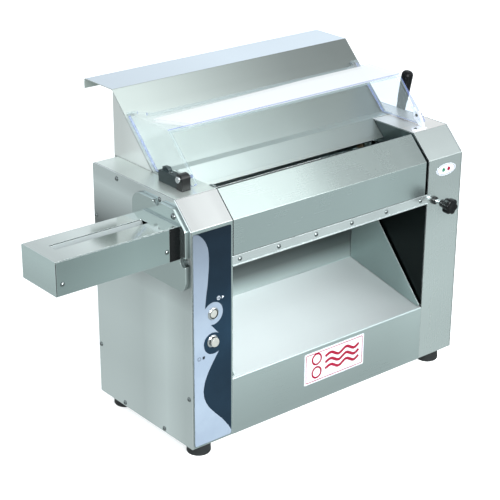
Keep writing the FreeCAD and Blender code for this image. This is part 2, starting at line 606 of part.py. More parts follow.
def sprocket(center, bore, hub_x):
    points = []
    for k in range(TEETH):
        angle = SQUARE + 2 * math.pi * k / TEETH
        for out, side in TOOTH_SPACE:
            seat = polar(center, SPROCKET_R + out, angle)
            points.append(polar(seat, side, angle + math.pi / 2))
    toothed = prism("x", points, CHAIN_X - 2.6, CHAIN_X + 2.6)
    solid = fuse(toothed, cylinder("x", *hub_x, center, 21.0))
    return solid.cut(cylinder("x", CHAIN_X - 20, CHAIN_X + 20, center, bore))


def chain_pins():
    """Pin centres: rear strand, drive sprocket, front strand, driven sprocket."""
    way = unit(FRONT_AXIS, DRIVE_AXIS)
    turns = [2 * math.pi * k / TEETH for k in range(TEETH // 2)]
    rear_start = polar(FRONT_AXIS, SPROCKET_R, SQUARE)
    front_start = polar(DRIVE_AXIS, -SPROCKET_R, SQUARE)
    return ([along(rear_start, way, PITCH * k) for k in range(STRAND)]
            + [polar(DRIVE_AXIS, SPROCKET_R, SQUARE - turn) for turn in turns]
            + [along(front_start, way, -PITCH * k) for k in range(STRAND)]
            + [polar(FRONT_AXIS, SPROCKET_R, SQUARE + math.pi - turn) for turn in turns])


def link(plates, bar):
    """Two link plates joined at both pins by bars, given as (x0, x1, radius)."""
    outline = rectangle(-5.4, PITCH + 5.4, -5.4, 5.4)
    x0, x1, radius = bar
    return fuse(*[prism("x", outline, *span, 5.39) for span in plates],
                cylinder("x", x0, x1, (0, 0), radius), cylinder("x", x0, x1, (PITCH, 0), radius))


add("front_roller_gear", roller_gear(FRONT_AXIS, 0.0))
add("rear_roller_gear", roller_gear(REAR_AXIS, math.pi / 12))
add("driven_sprocket",
    sprocket(FRONT_AXIS, JOURNAL_R + FIT, (CHAIN_X - 2.6, CHAIN_X + 10)))
add("drive_sprocket", sprocket(DRIVE_AXIS, SHAFT_R + FIT, (CHAIN_X - 12, CHAIN_X + 2.6)))

inner_link = link([(-4.3, -3.0), (3.0, 4.3)], (-3.0, 3.0, 4.0))
inner_link = drill(inner_link, "x", -6, 6, [(0, 0), (PITCH, 0)], 1.92)
outer_link = link([(-5.7, -4.4), (4.4, 5.7)], (-6.4, 6.4, 1.84))
pins = chain_pins()
for i, pin in enumerate(pins):
    way = unit(pin, pins[(i + 1) % len(pins)])
    piece = (inner_link if i % 2 else outer_link).copy()
    piece.rotate(ORIGIN, AXES["x"], math.degrees(math.atan2(way[1], way[0])))
    piece.translate(Vector(CHAIN_X, *pin))
    add("drive_chain", piece)

# ---- gear motor and electrics in the base -----------------------------------
add("drive_shaft", lathe("x", [(35.0, 0), (35.0, SHAFT_R - 1), (36.0, SHAFT_R),
                               (118.0, SHAFT_R), (118.0, 0)], DRIVE_AXIS))


def gearbox():
    housing = rectangle(DRIVE_Y - 46, DRIVE_Y + 46, DRIVE_Z - 46, DRIVE_Z + 46)
    solid = fuse(prism("x", housing, 92.0, 160.0, 10),
                 cylinder("x", 86.0, 92.0, DRIVE_AXIS, 24.0),
                 cylinder("x", 160.0, 166.0, DRIVE_AXIS, 44.0))
    return solid.cut(cylinder("x", 85.0, 120.0, DRIVE_AXIS, SHAFT_R + RUN))


def motor():
    """Finned body on a pedestal; three fins on the rear side are left out."""
    fins = []
    for k in range(24):
        if k in (17, 18, 19):
            continue
        fin = box(180.0, 322.0, -1.2, 1.2, 42.0, 47.0)
        fin.rotate(ORIGIN, AXES["x"], 360 / 24 * k)
        fin.translate(Vector(0, *DRIVE_AXIS))
        fins.append(fin)
    return fuse(cylinder("x", 166.0 + FIT, 330.0, DRIVE_AXIS, 43.0), *fins,
                box(200.0, 260.0, DRIVE_Y - 30, DRIVE_Y + 30, 8.0, 30.0),
                box(190.0, 270.0, DRIVE_Y - 58, DRIVE_Y + 58, SHEET + FIT, 8.0))


def fan_cover():
    """End cap with three rings of holes, each ring turned by its radius in radians."""
    cap = lathe("x", [(330.0 + FIT, 0), (330.0 + FIT, 46.0), (362.0, 46.0), (368.0, 40.0),
                      (368.0, 0)], DRIVE_AXIS)
    holes = [polar(DRIVE_AXIS, r, math.pi * k / 4 + r) for r in (14.0, 22.0, 30.0)
             for k in range(8)]
    return drill(cap, "x", 360.0, 370.0, holes, 2.8)


add("gear_motor", gearbox(), motor(), fan_cover())
add("control_box", prism("x", rectangle(60.0, 215.0, SHEET + FIT, 92.0), 400.0, 505.0, 4))
# (distance behind the rear face, radius)
GLAND_PROFILE = [(-14.0, 0), (-14.0, 10.0), (FIT, 10.0), (FIT, 14.0), (6.0, 14.0), (7.0, 11.0),
                 (18.0, 9.0), (22.0, 6.0), (22.0, 0)]
add("cable_gland", lathe("y", [(DEPTH + y, r) for y, r in GLAND_PROFILE], CABLE_AT))

# ---- gap adjustment ---------------------------------------------------------
SHAFT_END = 634.0
LEVER_X = 624.5
LEAN = math.radians(LEAN_DEG)
add("adjuster_shaft", lathe("x", [
    (60.0, 0), (60.0, SHAFT_R - 1), (61.0, SHAFT_R), (SHAFT_END - 1, SHAFT_R),
    (SHAFT_END, SHAFT_R - 1), (SHAFT_END, 0)], ADJUST_AXIS))


def cam(x0, x1):
    """Cam whose flat-follower lift is linear in the turn angle."""
    slope = GAP_TRAVEL / math.radians(LEVER_DEG)
    first, last = -18, int(LEVER_DEG) + 18
    points = []
    for degrees in range(first, last + 1, 3):
        turn = math.radians(degrees)
        contact = polar(ADJUST_AXIS, CAM_R - slope * turn, math.pi + turn)
        points.append(polar(contact, -slope, math.pi + turn + math.pi / 2))
    # round back of the cam
    for i in range(13):
        degrees = 180 + last + 30 + i * (360 - (last - first) - 60) / 12
        points.append(polar(ADJUST_AXIS, 14.0, math.radians(degrees)))
    return prism("x", points, x0, x1).cut(
        cylinder("x", x0 - 1, x1 + 1, ADJUST_AXIS, SHAFT_R + FIT))


def lever_arm():
    hub = tube("x", 617.0, 632.0, ADJUST_AXIS, 16.0, SHAFT_R + FIT)
    arm = Part.makeCylinder(5.0, 126.0, Vector(LEVER_X, *ADJUST_AXIS),
                            Vector(0, -math.sin(LEAN), math.cos(LEAN)))
    return fuse(hub, arm.cut(cylinder("x", 600, 640, ADJUST_AXIS, 12.0)))


# (distance from the shaft axis, radius)
GRIP_PROFILE = [
    (56.0, 5.02), (56.0, 7.6), (57.0, 8.4), (60.0, 8.7), (75.0, 8.8), (82.0, 9.9),
    (100.0, 10.4), (126.0, 10.9), (132.0, 10.8), (135.5, 9.6), (137.4, 7.5), (138.3, 5.0),
    (138.3, 0.0), (128.0, 0.0), (128.0, 5.02)]


def lever_grip():
    grip = lathe("z", GRIP_PROFILE, (0, 0))
    grip.rotate(ORIGIN, AXES["x"], LEAN_DEG)
    grip.translate(Vector(LEVER_X, *ADJUST_AXIS))
    return grip


def index_plate():
    """Plate behind the lever with nine detent holes over the lever travel."""
    y, z = ADJUST_AXIS
    plate = prism("x", rectangle(y - 30, y + 62, z - 24, z + 48), WIDTH + FIT, WIDTH + 2.5, 14)
    plate = plate.cut(cylinder("x", WIDTH - 1, WIDTH + 4, ADJUST_AXIS, 10.5))
    holes = [polar(ADJUST_AXIS, 40, math.pi / 2 + LEAN - math.radians(LEVER_DEG) * k / 8)
             for k in range(9)]
    return drill(plate, "x", WIDTH - 1, WIDTH + 4, holes, 2.2)


add_pair("gap_cams", cam(64.0, PLATE_X - 2.2))
add("lever_arm", lever_arm())
add("lever_grip", lever_grip())
add("index_plate", index_plate())

# ---- operator controls on the left column -----------------------------------
add("control_overlay", drill(prism("y", rectangle(3.8, 80.7, 4.0, 384.5), -0.4, -0.01, 3.0),
                             "y", -2, 1, [START_AT, STOP_AT], 8.3))


def bezel(at, bore):
    """Bezel ring with a neck through the panel."""
    ring = lathe("y", [(-1.9, bore), (-1.9, 8.05), (-2.9, 8.12), (-2.9, 8.9), (-2.4, 9.6),
                       (-1.0, 11.0), (-0.42, 11.0), (-0.42, bore)], at)
    return fuse(ring, tube("y", -0.5, 24.0, at, 7.95, bore))


def bezel_nut(at):
    nut = prism("y", hexagon(at, 11.0), SHEET + FIT, 5.5)
    return nut.cut(cylinder("y", 0, 10, at, 8.0))


def contact_block(at):
    x, z = at
    return fuse(box(x - 12, x + 12, 26.0, 46.0, z - 14, z + 14),
                box(x - 9, x + 9, 24.0 + FIT, 26.0, z - 9, z + 9)).cut(
                    cylinder("y", 20, 30, at, 4.0))


BUTTON_TAIL = [(16.0, 3.0), (22.0, 3.0), (22.0, 0)]
add("start_button", lathe("y", [(-2.6, 0), (-2.6, 6.2), (-2.2, 6.9), (-1.8, 7.0),
                                (16.0, 7.0)] + BUTTON_TAIL, START_AT))
add("stop_button", lathe("y", [(-9.0, 0), (-9.0, 6.4), (-8.6, 7.4), (-7.8, 8.0), (-5.1, 8.0),
                               (-5.1, 5.5), (16.0, 5.5)] + BUTTON_TAIL, STOP_AT))
add("button_bezels", bezel(START_AT, 7.12), bezel(STOP_AT, 5.62),
    bezel_nut(START_AT), bezel_nut(STOP_AT))
add("contact_blocks", contact_block(START_AT), contact_block(STOP_AT))

# ---- clamp knob on the right column -----------------------------------------
add("knob_collar", lathe("y", [(-5.5, 4.06), (-5.5, 6.2), (-4.5, 7.1), (-FIT, 7.1),
                               (-FIT, 4.9), (1.6, 4.9), (1.6, 4.06)], KNOB_AT))
add("knob_stud", lathe("y", [(-40.0, 0), (-40.0, 4.0), (23.0, 4.0), (24.0, 3.0), (24.0, 0)],
                       KNOB_AT))


def knob_head():
    """Six-lobed head with a domed front and a tapered neck."""
    lobes = [cylinder("y", -44.0, -30.0, polar(KNOB_AT, 11.4, math.radians(60 * k + 12)), 3.9)
             for k in range(6)]
    grip = fuse(cylinder("y", -44.0, -30.0, KNOB_AT, 11.6), *lobes)
    front = lathe("y", [(-46.0, 0), (-46.0, 8.6), (-44.0, 10.6), (-44.0, 0)], KNOB_AT)
    neck = lathe("y", [(-30.0, 0), (-30.0, 9.0), (-27.0, 8.0), (-20.0, 7.2), (-18.5, 6.6),
                       (-18.5, 0)], KNOB_AT)
    return fuse(grip, front, neck).cut(cylinder("y", -40.0 - FIT, -10, KNOB_AT, 4.0 + FIT))


add("knob_head", knob_head())
nut_plate = box(KNOB_AT[0] - 8, KNOB_AT[0] + 16, SHEET + 0.6, 10.0,
                KNOB_AT[1] - 12, KNOB_AT[1] + 12)
add("small_brackets", nut_plate.cut(cylinder("y", 0, 12, KNOB_AT, 4.06)))

# catch at the top front of the left column's inner face
add("small_brackets", fuse(box(LEFT_X + 0.6, LEFT_X + 4.0, 48.0, 58.0, 422.0, 434.0),
                           cylinder("x", LEFT_X + 0.6, LEFT_X + 4.0, (58.0, 430.0), 3.9)))

# rectangular maker's plate and oval label on the front
oval = []
for k in range(48):
    angle = 2 * math.pi * k / 48
    oval.append((572.7 + 24.5 * math.cos(angle), 366.0 + 11.0 * math.sin(angle)))
add("face_plates", prism("y", rectangle(243.5, 384.0, 37.5, 98.0), -0.5, -0.01, 2.0),
    prism("y", oval, -0.4, -0.01))

# ---- pasta-cutting head -----------------------------------------------------
HEAD_X = -235.0                # left end
HEAD_FRONT, HEAD_REAR = 19.7, 114.0
HEAD_Z, HEAD_TOP = 340.5, 397.3
FLANGE_T = 6.5
CUT_AXES = [FRONT_AXIS, (FRONT_Y + 30.0, ROLLER_Z)]
STRIP = 6.5                    # strip width
CUT_X = (-207.5, -36.5)        # span of the discs
DISC_R, CORE_R = 16.4, 13.2
DISC_COUNT = int((CUT_X[1] - CUT_X[0]) / (2 * STRIP))
HEAD_SCREWS = [(-223.5, 359.0), (-31.4, 359.0)]
# clearance for the bend between casing top and rear wall
CORNER = box(HEAD_X, 0.0, HEAD_REAR - 3.4, HEAD_REAR, HEAD_TOP - 3.4, HEAD_TOP)


def head_casing():
    """Bent top and rear wall with the left end; the top has the feed slot."""
    casing = fuse(
        sheet("x", [(HEAD_FRONT, HEAD_TOP), (HEAD_REAR, HEAD_TOP), (HEAD_REAR, HEAD_Z)],
              SHEET, HEAD_X, -11.6, 2.0),
        box(HEAD_X, HEAD_X + SHEET, HEAD_FRONT, HEAD_REAR - 1.0, HEAD_Z, HEAD_TOP - 1.0))
    return casing.cut(prism("z", rectangle(-208.0, -36.0, 60.0, 80.0),
                            HEAD_TOP - 5, HEAD_TOP + 5, 3.0))


def flange_plate():
    """Mounting plate on the left side cover, with two ledges under the casing."""
    plate = prism("x", [(6.0, 284.0), (148.0, 284.0), (148.0, 421.0), (37.0, 421.0),
                        (6.0, 390.0)], -FLANGE_T, -FIT, [20, 20, 22, 8, 8])
    # scallops clear two of the side cover screws
    plate = drill(plate, "x", -8, 1, [SIDE_SCREWS[1], SIDE_SCREWS[7]], 8.6)
    plate = drill(plate, "x", -8, 1, [FRONT_AXIS], 15.0)
    plate = drill(plate, "x", -8, 1, FLANGE_BOLTS, 3.2)
    ledges = fuse(
        box(-11.2, -FLANGE_T, HEAD_FRONT, HEAD_REAR, HEAD_TOP - 1.5, HEAD_TOP),
        box(-11.2, -FLANGE_T, HEAD_REAR - 1.5, HEAD_REAR, HEAD_Z, HEAD_TOP - 1.5))
    return fuse(plate, ledges)


def bearing_block():
    """Right-hand block with a tab for the front plate screw."""
    block = prism("y", rectangle(-26.0, -FLANGE_T - FIT, HEAD_Z, HEAD_TOP - 1.7),
                  HEAD_FRONT, HEAD_REAR - 1.7, [0.5, 0.5, 0.5, 7.0])
    block = drill(block, "x", -30, 2, CUT_AXES, 8.0 + RUN)
    tab = box(-34.6, -26.0, HEAD_FRONT + SHEET + FIT, HEAD_FRONT + 10, 353.0, 365.0)
    return fuse(block, tab).cut(cylinder("y", 0, 40, HEAD_SCREWS[1], 2.05)).cut(CORNER)


def end_plate():
    """Left-hand bearing plate inside the casing."""
    plate = box(HEAD_X + 1.7, HEAD_X + 11.7, HEAD_FRONT + 1.6, HEAD_REAR - 1.7,
                HEAD_Z + 1, HEAD_TOP - 1.7)
    plate = drill(plate, "x", HEAD_X, HEAD_X + 20, CUT_AXES, 6.0 + RUN)
    return plate.cut(cylinder("y", 0, 40, HEAD_SCREWS[0], 2.05)).cut(CORNER)


def cutting_roll(axis, first_disc_x, end_x):
    """Disc roll; the discs of one roll run in the grooves of the other."""
    profile = [(HEAD_X + 2.2, 0.0), (HEAD_X + 2.2, 6.0), (-222.0, 6.0), (-222.0, 9.0),
               (-208.5, 9.0), (-208.5, CORE_R)]
    for i in range(DISC_COUNT):
        x0 = first_disc_x + 2 * STRIP * i + 0.15
        x1 = x0 + STRIP - 0.3
        profile += [(x0, CORE_R), (x0, DISC_R), (x1, DISC_R), (x1, CORE_R)]
    profile += [(-35.5, CORE_R), (-35.5, 8.0), (end_x, 8.0), (end_x, 0.0)]
    return lathe("x", profile, axis)


def cutter_gear(axis, phase):
    return gear(-221.5, -211.5, axis, teeth=20, tip=16.4, root=13.15,
                half_widths=(1.45, 1.0, 0.42), bore=9.0 + FIT, phase=phase)


def comb(first_x, teeth_y, back_y):
    """Teeth that reach into the grooves of one roll, on a back strip."""
    teeth = []
    for i in range(DISC_COUNT):
        x = first_x + 2 * STRIP * i
        teeth.append(box(x + 0.6, x + STRIP - 0.6, *teeth_y, 348.6, 351.0))
    return fuse(*teeth, box(CUT_X[0] - 2, CUT_X[1] + 2, *back_y, 344.0, 351.0))


add("cutter_casing", head_casing(),
    # feed lips under the slot
    sheet("x", [(60.6, HEAD_TOP - 1.6), (63.0, 387.0)], -1.0, -207.0, -37.0),
    sheet("x", [(79.4, HEAD_TOP - 1.6), (72.5, 387.0)], 1.0, -207.0, -37.0))
front_plate = box(HEAD_X + 1.6, -26.4, HEAD_FRONT, HEAD_FRONT + SHEET, HEAD_Z, HEAD_TOP - 1.7)
add("cutter_front_plate",
    drill(front_plate, "y", HEAD_FRONT - 1, HEAD_FRONT + 3, HEAD_SCREWS, 2.2))
for at in HEAD_SCREWS:
    add("button_head_screws", screw("y", HEAD_FRONT, at, -1, CUTTER_SCREW))
add("cutter_flange_plate", flange_plate())
for at in FLANGE_BOLTS:
    add("button_head_screws", screw("x", -FLANGE_T, at, -1, FLANGE_BOLT))
add("cutter_bearing_blocks", bearing_block(), end_plate())

# the front roll ends in a tongue that fits the slot of the front roller
tongue = cylinder("x", -4.0, 7.6, FRONT_AXIS, 8.0).fuse(
    box(7.6, 19.4, FRONT_Y - 2.4, FRONT_Y + 2.4, ROLLER_Z - 7.4, ROLLER_Z + 7.4))
add("cutter_roll_front", fuse(cutting_roll(CUT_AXES[0], CUT_X[0], -4.0), tongue),
    cutter_gear(CUT_AXES[0], 0.0))
add("cutter_roll_rear", cutting_roll(CUT_AXES[1], CUT_X[0] + STRIP, -7.5),
    cutter_gear(CUT_AXES[1], math.pi / 20))
add("cutter_combs",
    comb(CUT_X[0] + STRIP, (HEAD_FRONT + 4, 47.0), (HEAD_FRONT + 2.0, HEAD_FRONT + 6.0)),
    comb(CUT_X[0], (88.0, 108.0), (106.0, 110.0)))

# ---- export: one STEP file per node, every piece its own solid --------------
os.makedirs("parts", exist_ok=True)
for name, shapes in nodes.items():
    solids = []
    for shape in shapes:
        moved = shape.copy()
        moved.translate(DATUM)
        solids += moved.Solids
    result = solids[0] if len(solids) == 1 else Part.makeCompound(solids)
    result.exportStep("parts/%s.step" % name)
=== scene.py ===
"""Studio view of a bench-top two-roller machine with a cutting head on its left side.

The machine stands upright: X runs from left to right, Y from front to rear, Z up.
Machine measures are in mm from a datum at the left outer face, front face and underside
of the casing. Shader distances and the studio are in metres.
"""
import math

import bmesh
import bpy
from mathutils import Matrix, Vector
from mathutils.geometry import tessellate_polygon

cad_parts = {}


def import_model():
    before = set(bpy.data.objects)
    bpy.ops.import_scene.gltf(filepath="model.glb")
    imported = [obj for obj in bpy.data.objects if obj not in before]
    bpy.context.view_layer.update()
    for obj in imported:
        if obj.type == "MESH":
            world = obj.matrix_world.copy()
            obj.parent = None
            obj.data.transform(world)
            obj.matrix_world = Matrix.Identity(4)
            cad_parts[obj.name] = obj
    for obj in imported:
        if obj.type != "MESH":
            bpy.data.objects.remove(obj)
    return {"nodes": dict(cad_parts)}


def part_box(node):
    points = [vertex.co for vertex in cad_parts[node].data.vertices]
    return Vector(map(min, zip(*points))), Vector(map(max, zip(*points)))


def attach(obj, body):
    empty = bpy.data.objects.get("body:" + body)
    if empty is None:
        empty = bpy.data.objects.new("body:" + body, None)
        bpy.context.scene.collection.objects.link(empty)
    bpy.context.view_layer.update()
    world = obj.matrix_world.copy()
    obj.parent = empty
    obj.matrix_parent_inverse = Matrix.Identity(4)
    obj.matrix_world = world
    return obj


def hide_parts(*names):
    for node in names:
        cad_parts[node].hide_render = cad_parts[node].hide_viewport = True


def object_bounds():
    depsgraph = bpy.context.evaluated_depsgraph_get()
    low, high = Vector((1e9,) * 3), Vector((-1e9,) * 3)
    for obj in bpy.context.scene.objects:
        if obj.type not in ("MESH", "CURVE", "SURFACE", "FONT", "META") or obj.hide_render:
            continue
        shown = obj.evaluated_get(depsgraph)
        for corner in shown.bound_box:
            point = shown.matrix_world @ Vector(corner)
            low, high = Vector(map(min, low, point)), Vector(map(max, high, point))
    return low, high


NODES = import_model()["nodes"]
CAD_LO, CAD_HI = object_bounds()
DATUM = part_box("left_side_cover")[0]
GUARD_LO, GUARD_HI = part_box("safety_guard")[0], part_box("safety_guard")[1]
STUDIO_CENTRE = (0.3065, 0.135, -0.025)  # metres from the datum: middle of the casing, on the bench


def from_mm(x, y, z):
    """Frame position of a point given in machine mm."""
    return Vector((DATUM.x + x / 1000.0, DATUM.y + y / 1000.0, DATUM.z + z / 1000.0))


def to_mm(point):
    """Machine mm of a point of the frame."""
    return Vector([(point[i] - DATUM[i]) * 1000.0 for i in range(3)])


def box_mm(node):
    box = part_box(node)
    return to_mm(box[0]), to_mm(box[1])


def studio(x, y, z):
    """Frame position of a point given in metres from the studio centre."""
    return tuple(DATUM[i] + STUDIO_CENTRE[i] + offset for i, offset in enumerate((x, y, z)))


def srgb(*channels):
    """Linear RGBA of an 8-bit sRGB colour."""
    linear = []
    for value in channels:
        value = value / 255.0
        linear.append(value / 12.92 if value <= 0.04045 else ((value + 0.055) / 1.055) ** 2.4)
    return tuple(linear) + (1.0,)


# ---------------------------------------------------------------------------
# Shader node helpers
# ---------------------------------------------------------------------------
class Tree:
    """A cleared node tree with short builders; most return the output socket."""

    def __init__(self, owner):
        owner.use_nodes = True
        self.nodes = owner.node_tree.nodes
        self.links = owner.node_tree.links
        self.nodes.clear()

    def new(self, kind, inputs=None, **settings):
        node = self.nodes.new(kind)
        for key, value in settings.items():
            setattr(node, key, value)
        for key, value in (inputs or {}).items():
            socket = node.inputs[key]
            if isinstance(value, bpy.types.NodeSocket):
                self.links.new(value, socket)
            else:
                socket.default_value = value
        return node

    def shader(self, kind, **inputs):
        """Shader node; underscores in the input names stand for spaces."""
        named = {key.replace("_", " "): value for key, value in inputs.items()}
        return self.new(kind, named).outputs[0]

    def math(self, operation, a, b=0.0, clamp=False):
        node = self.new("ShaderNodeMath", {0: a, 1: b, 2: 0.0},
                        operation=operation, use_clamp=clamp)
        return node.outputs[0]

    def weighted(self, a, weight_a, b, weight_b):
        return self.math("ADD", self.math("MULTIPLY", a, weight_a),
                         self.math("MULTIPLY", b, weight_b))

    def vector_math(self, operation, a, b=(0, 0, 0)):
        node = self.new("ShaderNodeVectorMath", {0: a, 1: b}, operation=operation)
        return node.outputs["Value" if operation in ("DOT_PRODUCT", "LENGTH") else "Vector"]

    def mix(self, factor, a, b, blend="MIX"):
        node = self.new("ShaderNodeMix", {}, data_type="RGBA", blend_type=blend, clamp_factor=True)
        for key, value in ((0, factor), (6, a), (7, b)):
            if isinstance(value, bpy.types.NodeSocket):
                self.links.new(value, node.inputs[key])
            else:
                node.inputs[key].default_value = value
        return node.outputs[2]

    def mix_shader(self, factor, a, b):
        return self.new("ShaderNodeMixShader", {0: factor, 1: a, 2: b}).outputs[0]

    def remap(self, value, source, target=(0.0, 1.0), smooth=False):
        """Clamped map of the source range onto the target range."""
        inputs = {0: value, 1: source[0], 2: source[1], 3: target[0], 4: target[1]}
        kind = "SMOOTHSTEP" if smooth else "LINEAR"
        return self.new("ShaderNodeMapRange", inputs, interpolation_type=kind, clamp=True).outputs[0]

    def ramp(self, value, stops):
        """Colour ramp; stops are (position, colour) in rising order."""
        node = self.new("ShaderNodeValToRGB", {0: value})
        elements = node.color_ramp.elements
        elements[0].position, elements[0].color = stops[0]
        elements[1].position, elements[1].color = stops[-1]
        for position, colour in stops[1:-1]:
            elements.new(position).color = colour
        return node.outputs[0]

    def grade(self, along, start, stops, peak=1.0):
        """Grey ramp along a machine axis; stops are (mm, factor), start is the axis datum."""
        low, high = stops[0][0], stops[-1][0]
        reach = self.remap(along, source=(start + low / 1000.0, start + high / 1000.0))
        return self.ramp(reach, [((at - low) / (high - low), (factor / peak,) * 3 + (1.0,))
                                 for at, factor in stops])

    def position(self):
        """X, Y and Z sockets of the object coordinates."""
        coords = self.new("ShaderNodeTexCoord").outputs["Object"]
        return self.new("ShaderNodeSeparateXYZ", {0: coords}).outputs

    def coords(self, scale=(1, 1, 1)):
        coords = self.new("ShaderNodeTexCoord").outputs["Object"]
        return self.new("ShaderNodeMapping", {"Vector": coords, "Scale": scale}).outputs[0]

    def noise(self, scale, vector=None, detail=3.0, roughness=0.5, distortion=0.0):
        inputs = {"Scale": scale, "Detail": detail, "Roughness": roughness,
                  "Distortion": distortion}
        if vector is not None:
            inputs["Vector"] = vector
        return self.new("ShaderNodeTexNoise", inputs).outputs["Fac"]

    def bump(self, height, strength, distance, normal=None):
        inputs = {"Height": height, "Strength": strength, "Distance": distance}
        if normal is not None:
            inputs["Normal"] = normal
        return self.new("ShaderNodeBump", inputs).outputs[0]

    def bevel(self, radius, normal=None):
        inputs = {"Radius": radius}
        if normal is not None:
            inputs["Normal"] = normal
        return self.new("ShaderNodeBevel", inputs, samples=4).outputs[0]

    def edge(self, radius):
        """0 on flats, towards 1 on edges."""
        geometry = self.new("ShaderNodeNewGeometry")
        turn = self.vector_math("DOT_PRODUCT", self.bevel(radius), geometry.outputs["Normal"])
        return self.remap(turn, source=(0.995, 0.80))

    def out(self, surface, kind="ShaderNodeOutputMaterial"):
        self.new(kind, {"Surface": surface})


MATERIALS = {}


def material(name):
    MATERIALS[name] = bpy.data.materials.new(name)
    return Tree(MATERIALS[name])


# ---------------------------------------------------------------------------
# Steel
# ---------------------------------------------------------------------------
def grain_scale(axis, along, across, even):
    """Texture scale drawn out along one axis, or even when axis is None."""
    if axis is None:
        return (even,) * 3
    return tuple(along if name == axis else across for name in "XYZ")


def steel(name, tint, roughness, grain=None, *, depth, spread=0.05, wave=0.0, bevel=0.0006,
          edge_radius=None, edge_wear_and_highlight=True, metallic=1.0, tones=None,
          seam_shade_reach=0.0035, seam_shade_tone=0.35, seam_shade_clear=0.80):
    """Steel with drawn grain, faint waves, handling marks, painted seam shade and lightened edges.

    grain is the drawn axis, depth and wave the strength of grain and waves, spread the
    variation of roughness. tones grades the sheet with painted light and shade:
    {axis: ((mm, factor), ...)}. Occlusion paints shade into seams, sockets and recesses;
    the edges are lightened partly by wear, partly as a painted highlight.
    """
    t = material(name)
    fine = t.noise(scale=1.0, vector=t.coords(grain_scale(grain, along=6, across=2600, even=1500)),
                   detail=2.0, roughness=0.6)
    coarse = t.noise(scale=1.0, detail=3.0, roughness=0.55,
                     vector=t.coords(grain_scale(grain, along=2.5, across=900, even=300)))
    drawn = t.weighted(fine, 0.6, coarse, 0.4)
    marks = t.noise(scale=5.0, vector=t.coords(), detail=5.0, roughness=0.62, distortion=0.6)
    smudge = t.remap(marks, source=(0.46, 0.74), smooth=True)
    grain_roughness = t.remap(drawn, source=(0.3, 0.7),
                              target=(roughness - spread, roughness + spread))
    # smudges add up to 0.05 of roughness
    final_roughness = t.math("ADD", grain_roughness, t.math("MULTIPLY", smudge, 0.05), clamp=True)

    tone = t.remap(t.weighted(drawn, 0.7, marks, 0.3), source=(0.3, 0.7), target=(0.982, 1.01))
    brightest = 1.0
    if tones:
        position = t.position()
        for axis, stops in tones.items():
            index = "XYZ".index(axis)
            peak = max(factor for _, factor in stops)
            graded = t.grade(position[index], DATUM[index], stops, peak)
            red = t.new("ShaderNodeSeparateColor", {0: graded}).outputs[0]
            tone = t.math("MULTIPLY", tone, red)
            brightest *= peak
    # painted shade: occlusion darkens the colour in seams, sockets and recesses
    occlusion = t.new("ShaderNodeAmbientOcclusion", {"Distance": seam_shade_reach}, samples=4)
    painted_seam_shade = t.remap(occlusion.outputs["AO"], source=(0.25, seam_shade_clear), target=(seam_shade_tone, 1.0))
    tone = t.math("MULTIPLY", tone, painted_seam_shade)
    grey = t.new("ShaderNodeCombineColor", {0: tone, 1: tone, 2: tone}).outputs[0]
    lit_tint = tuple(min(1.0, channel * brightest) for channel in tint) + (1.0,)
    base = t.mix(1.0, lit_tint, grey, blend="MULTIPLY")
    # edges lightened towards pale steel: partly wear, partly a painted highlight
    if edge_wear_and_highlight:
        wear = t.math("MULTIPLY", t.edge(edge_radius or bevel * 1.4), 0.7)  # share of lightened edge: partly wear, partly painted highlight
        base = t.mix(wear, base, (0.93, 0.98, 0.98, 1.0))

    rolling = t.noise(scale=1.0, vector=t.coords((4.5, 4.5, 4.5)), detail=2.0, roughness=0.5)
    normal = t.bump(rolling, strength=wave, distance=0.02)
    normal = t.bump(drawn, strength=depth, distance=0.00012, normal=normal)
    t.out(t.shader("ShaderNodeBsdfPrincipled", Base_Color=base, Metallic=metallic,
                   Roughness=final_roughness, Normal=t.bevel(bevel, normal)))
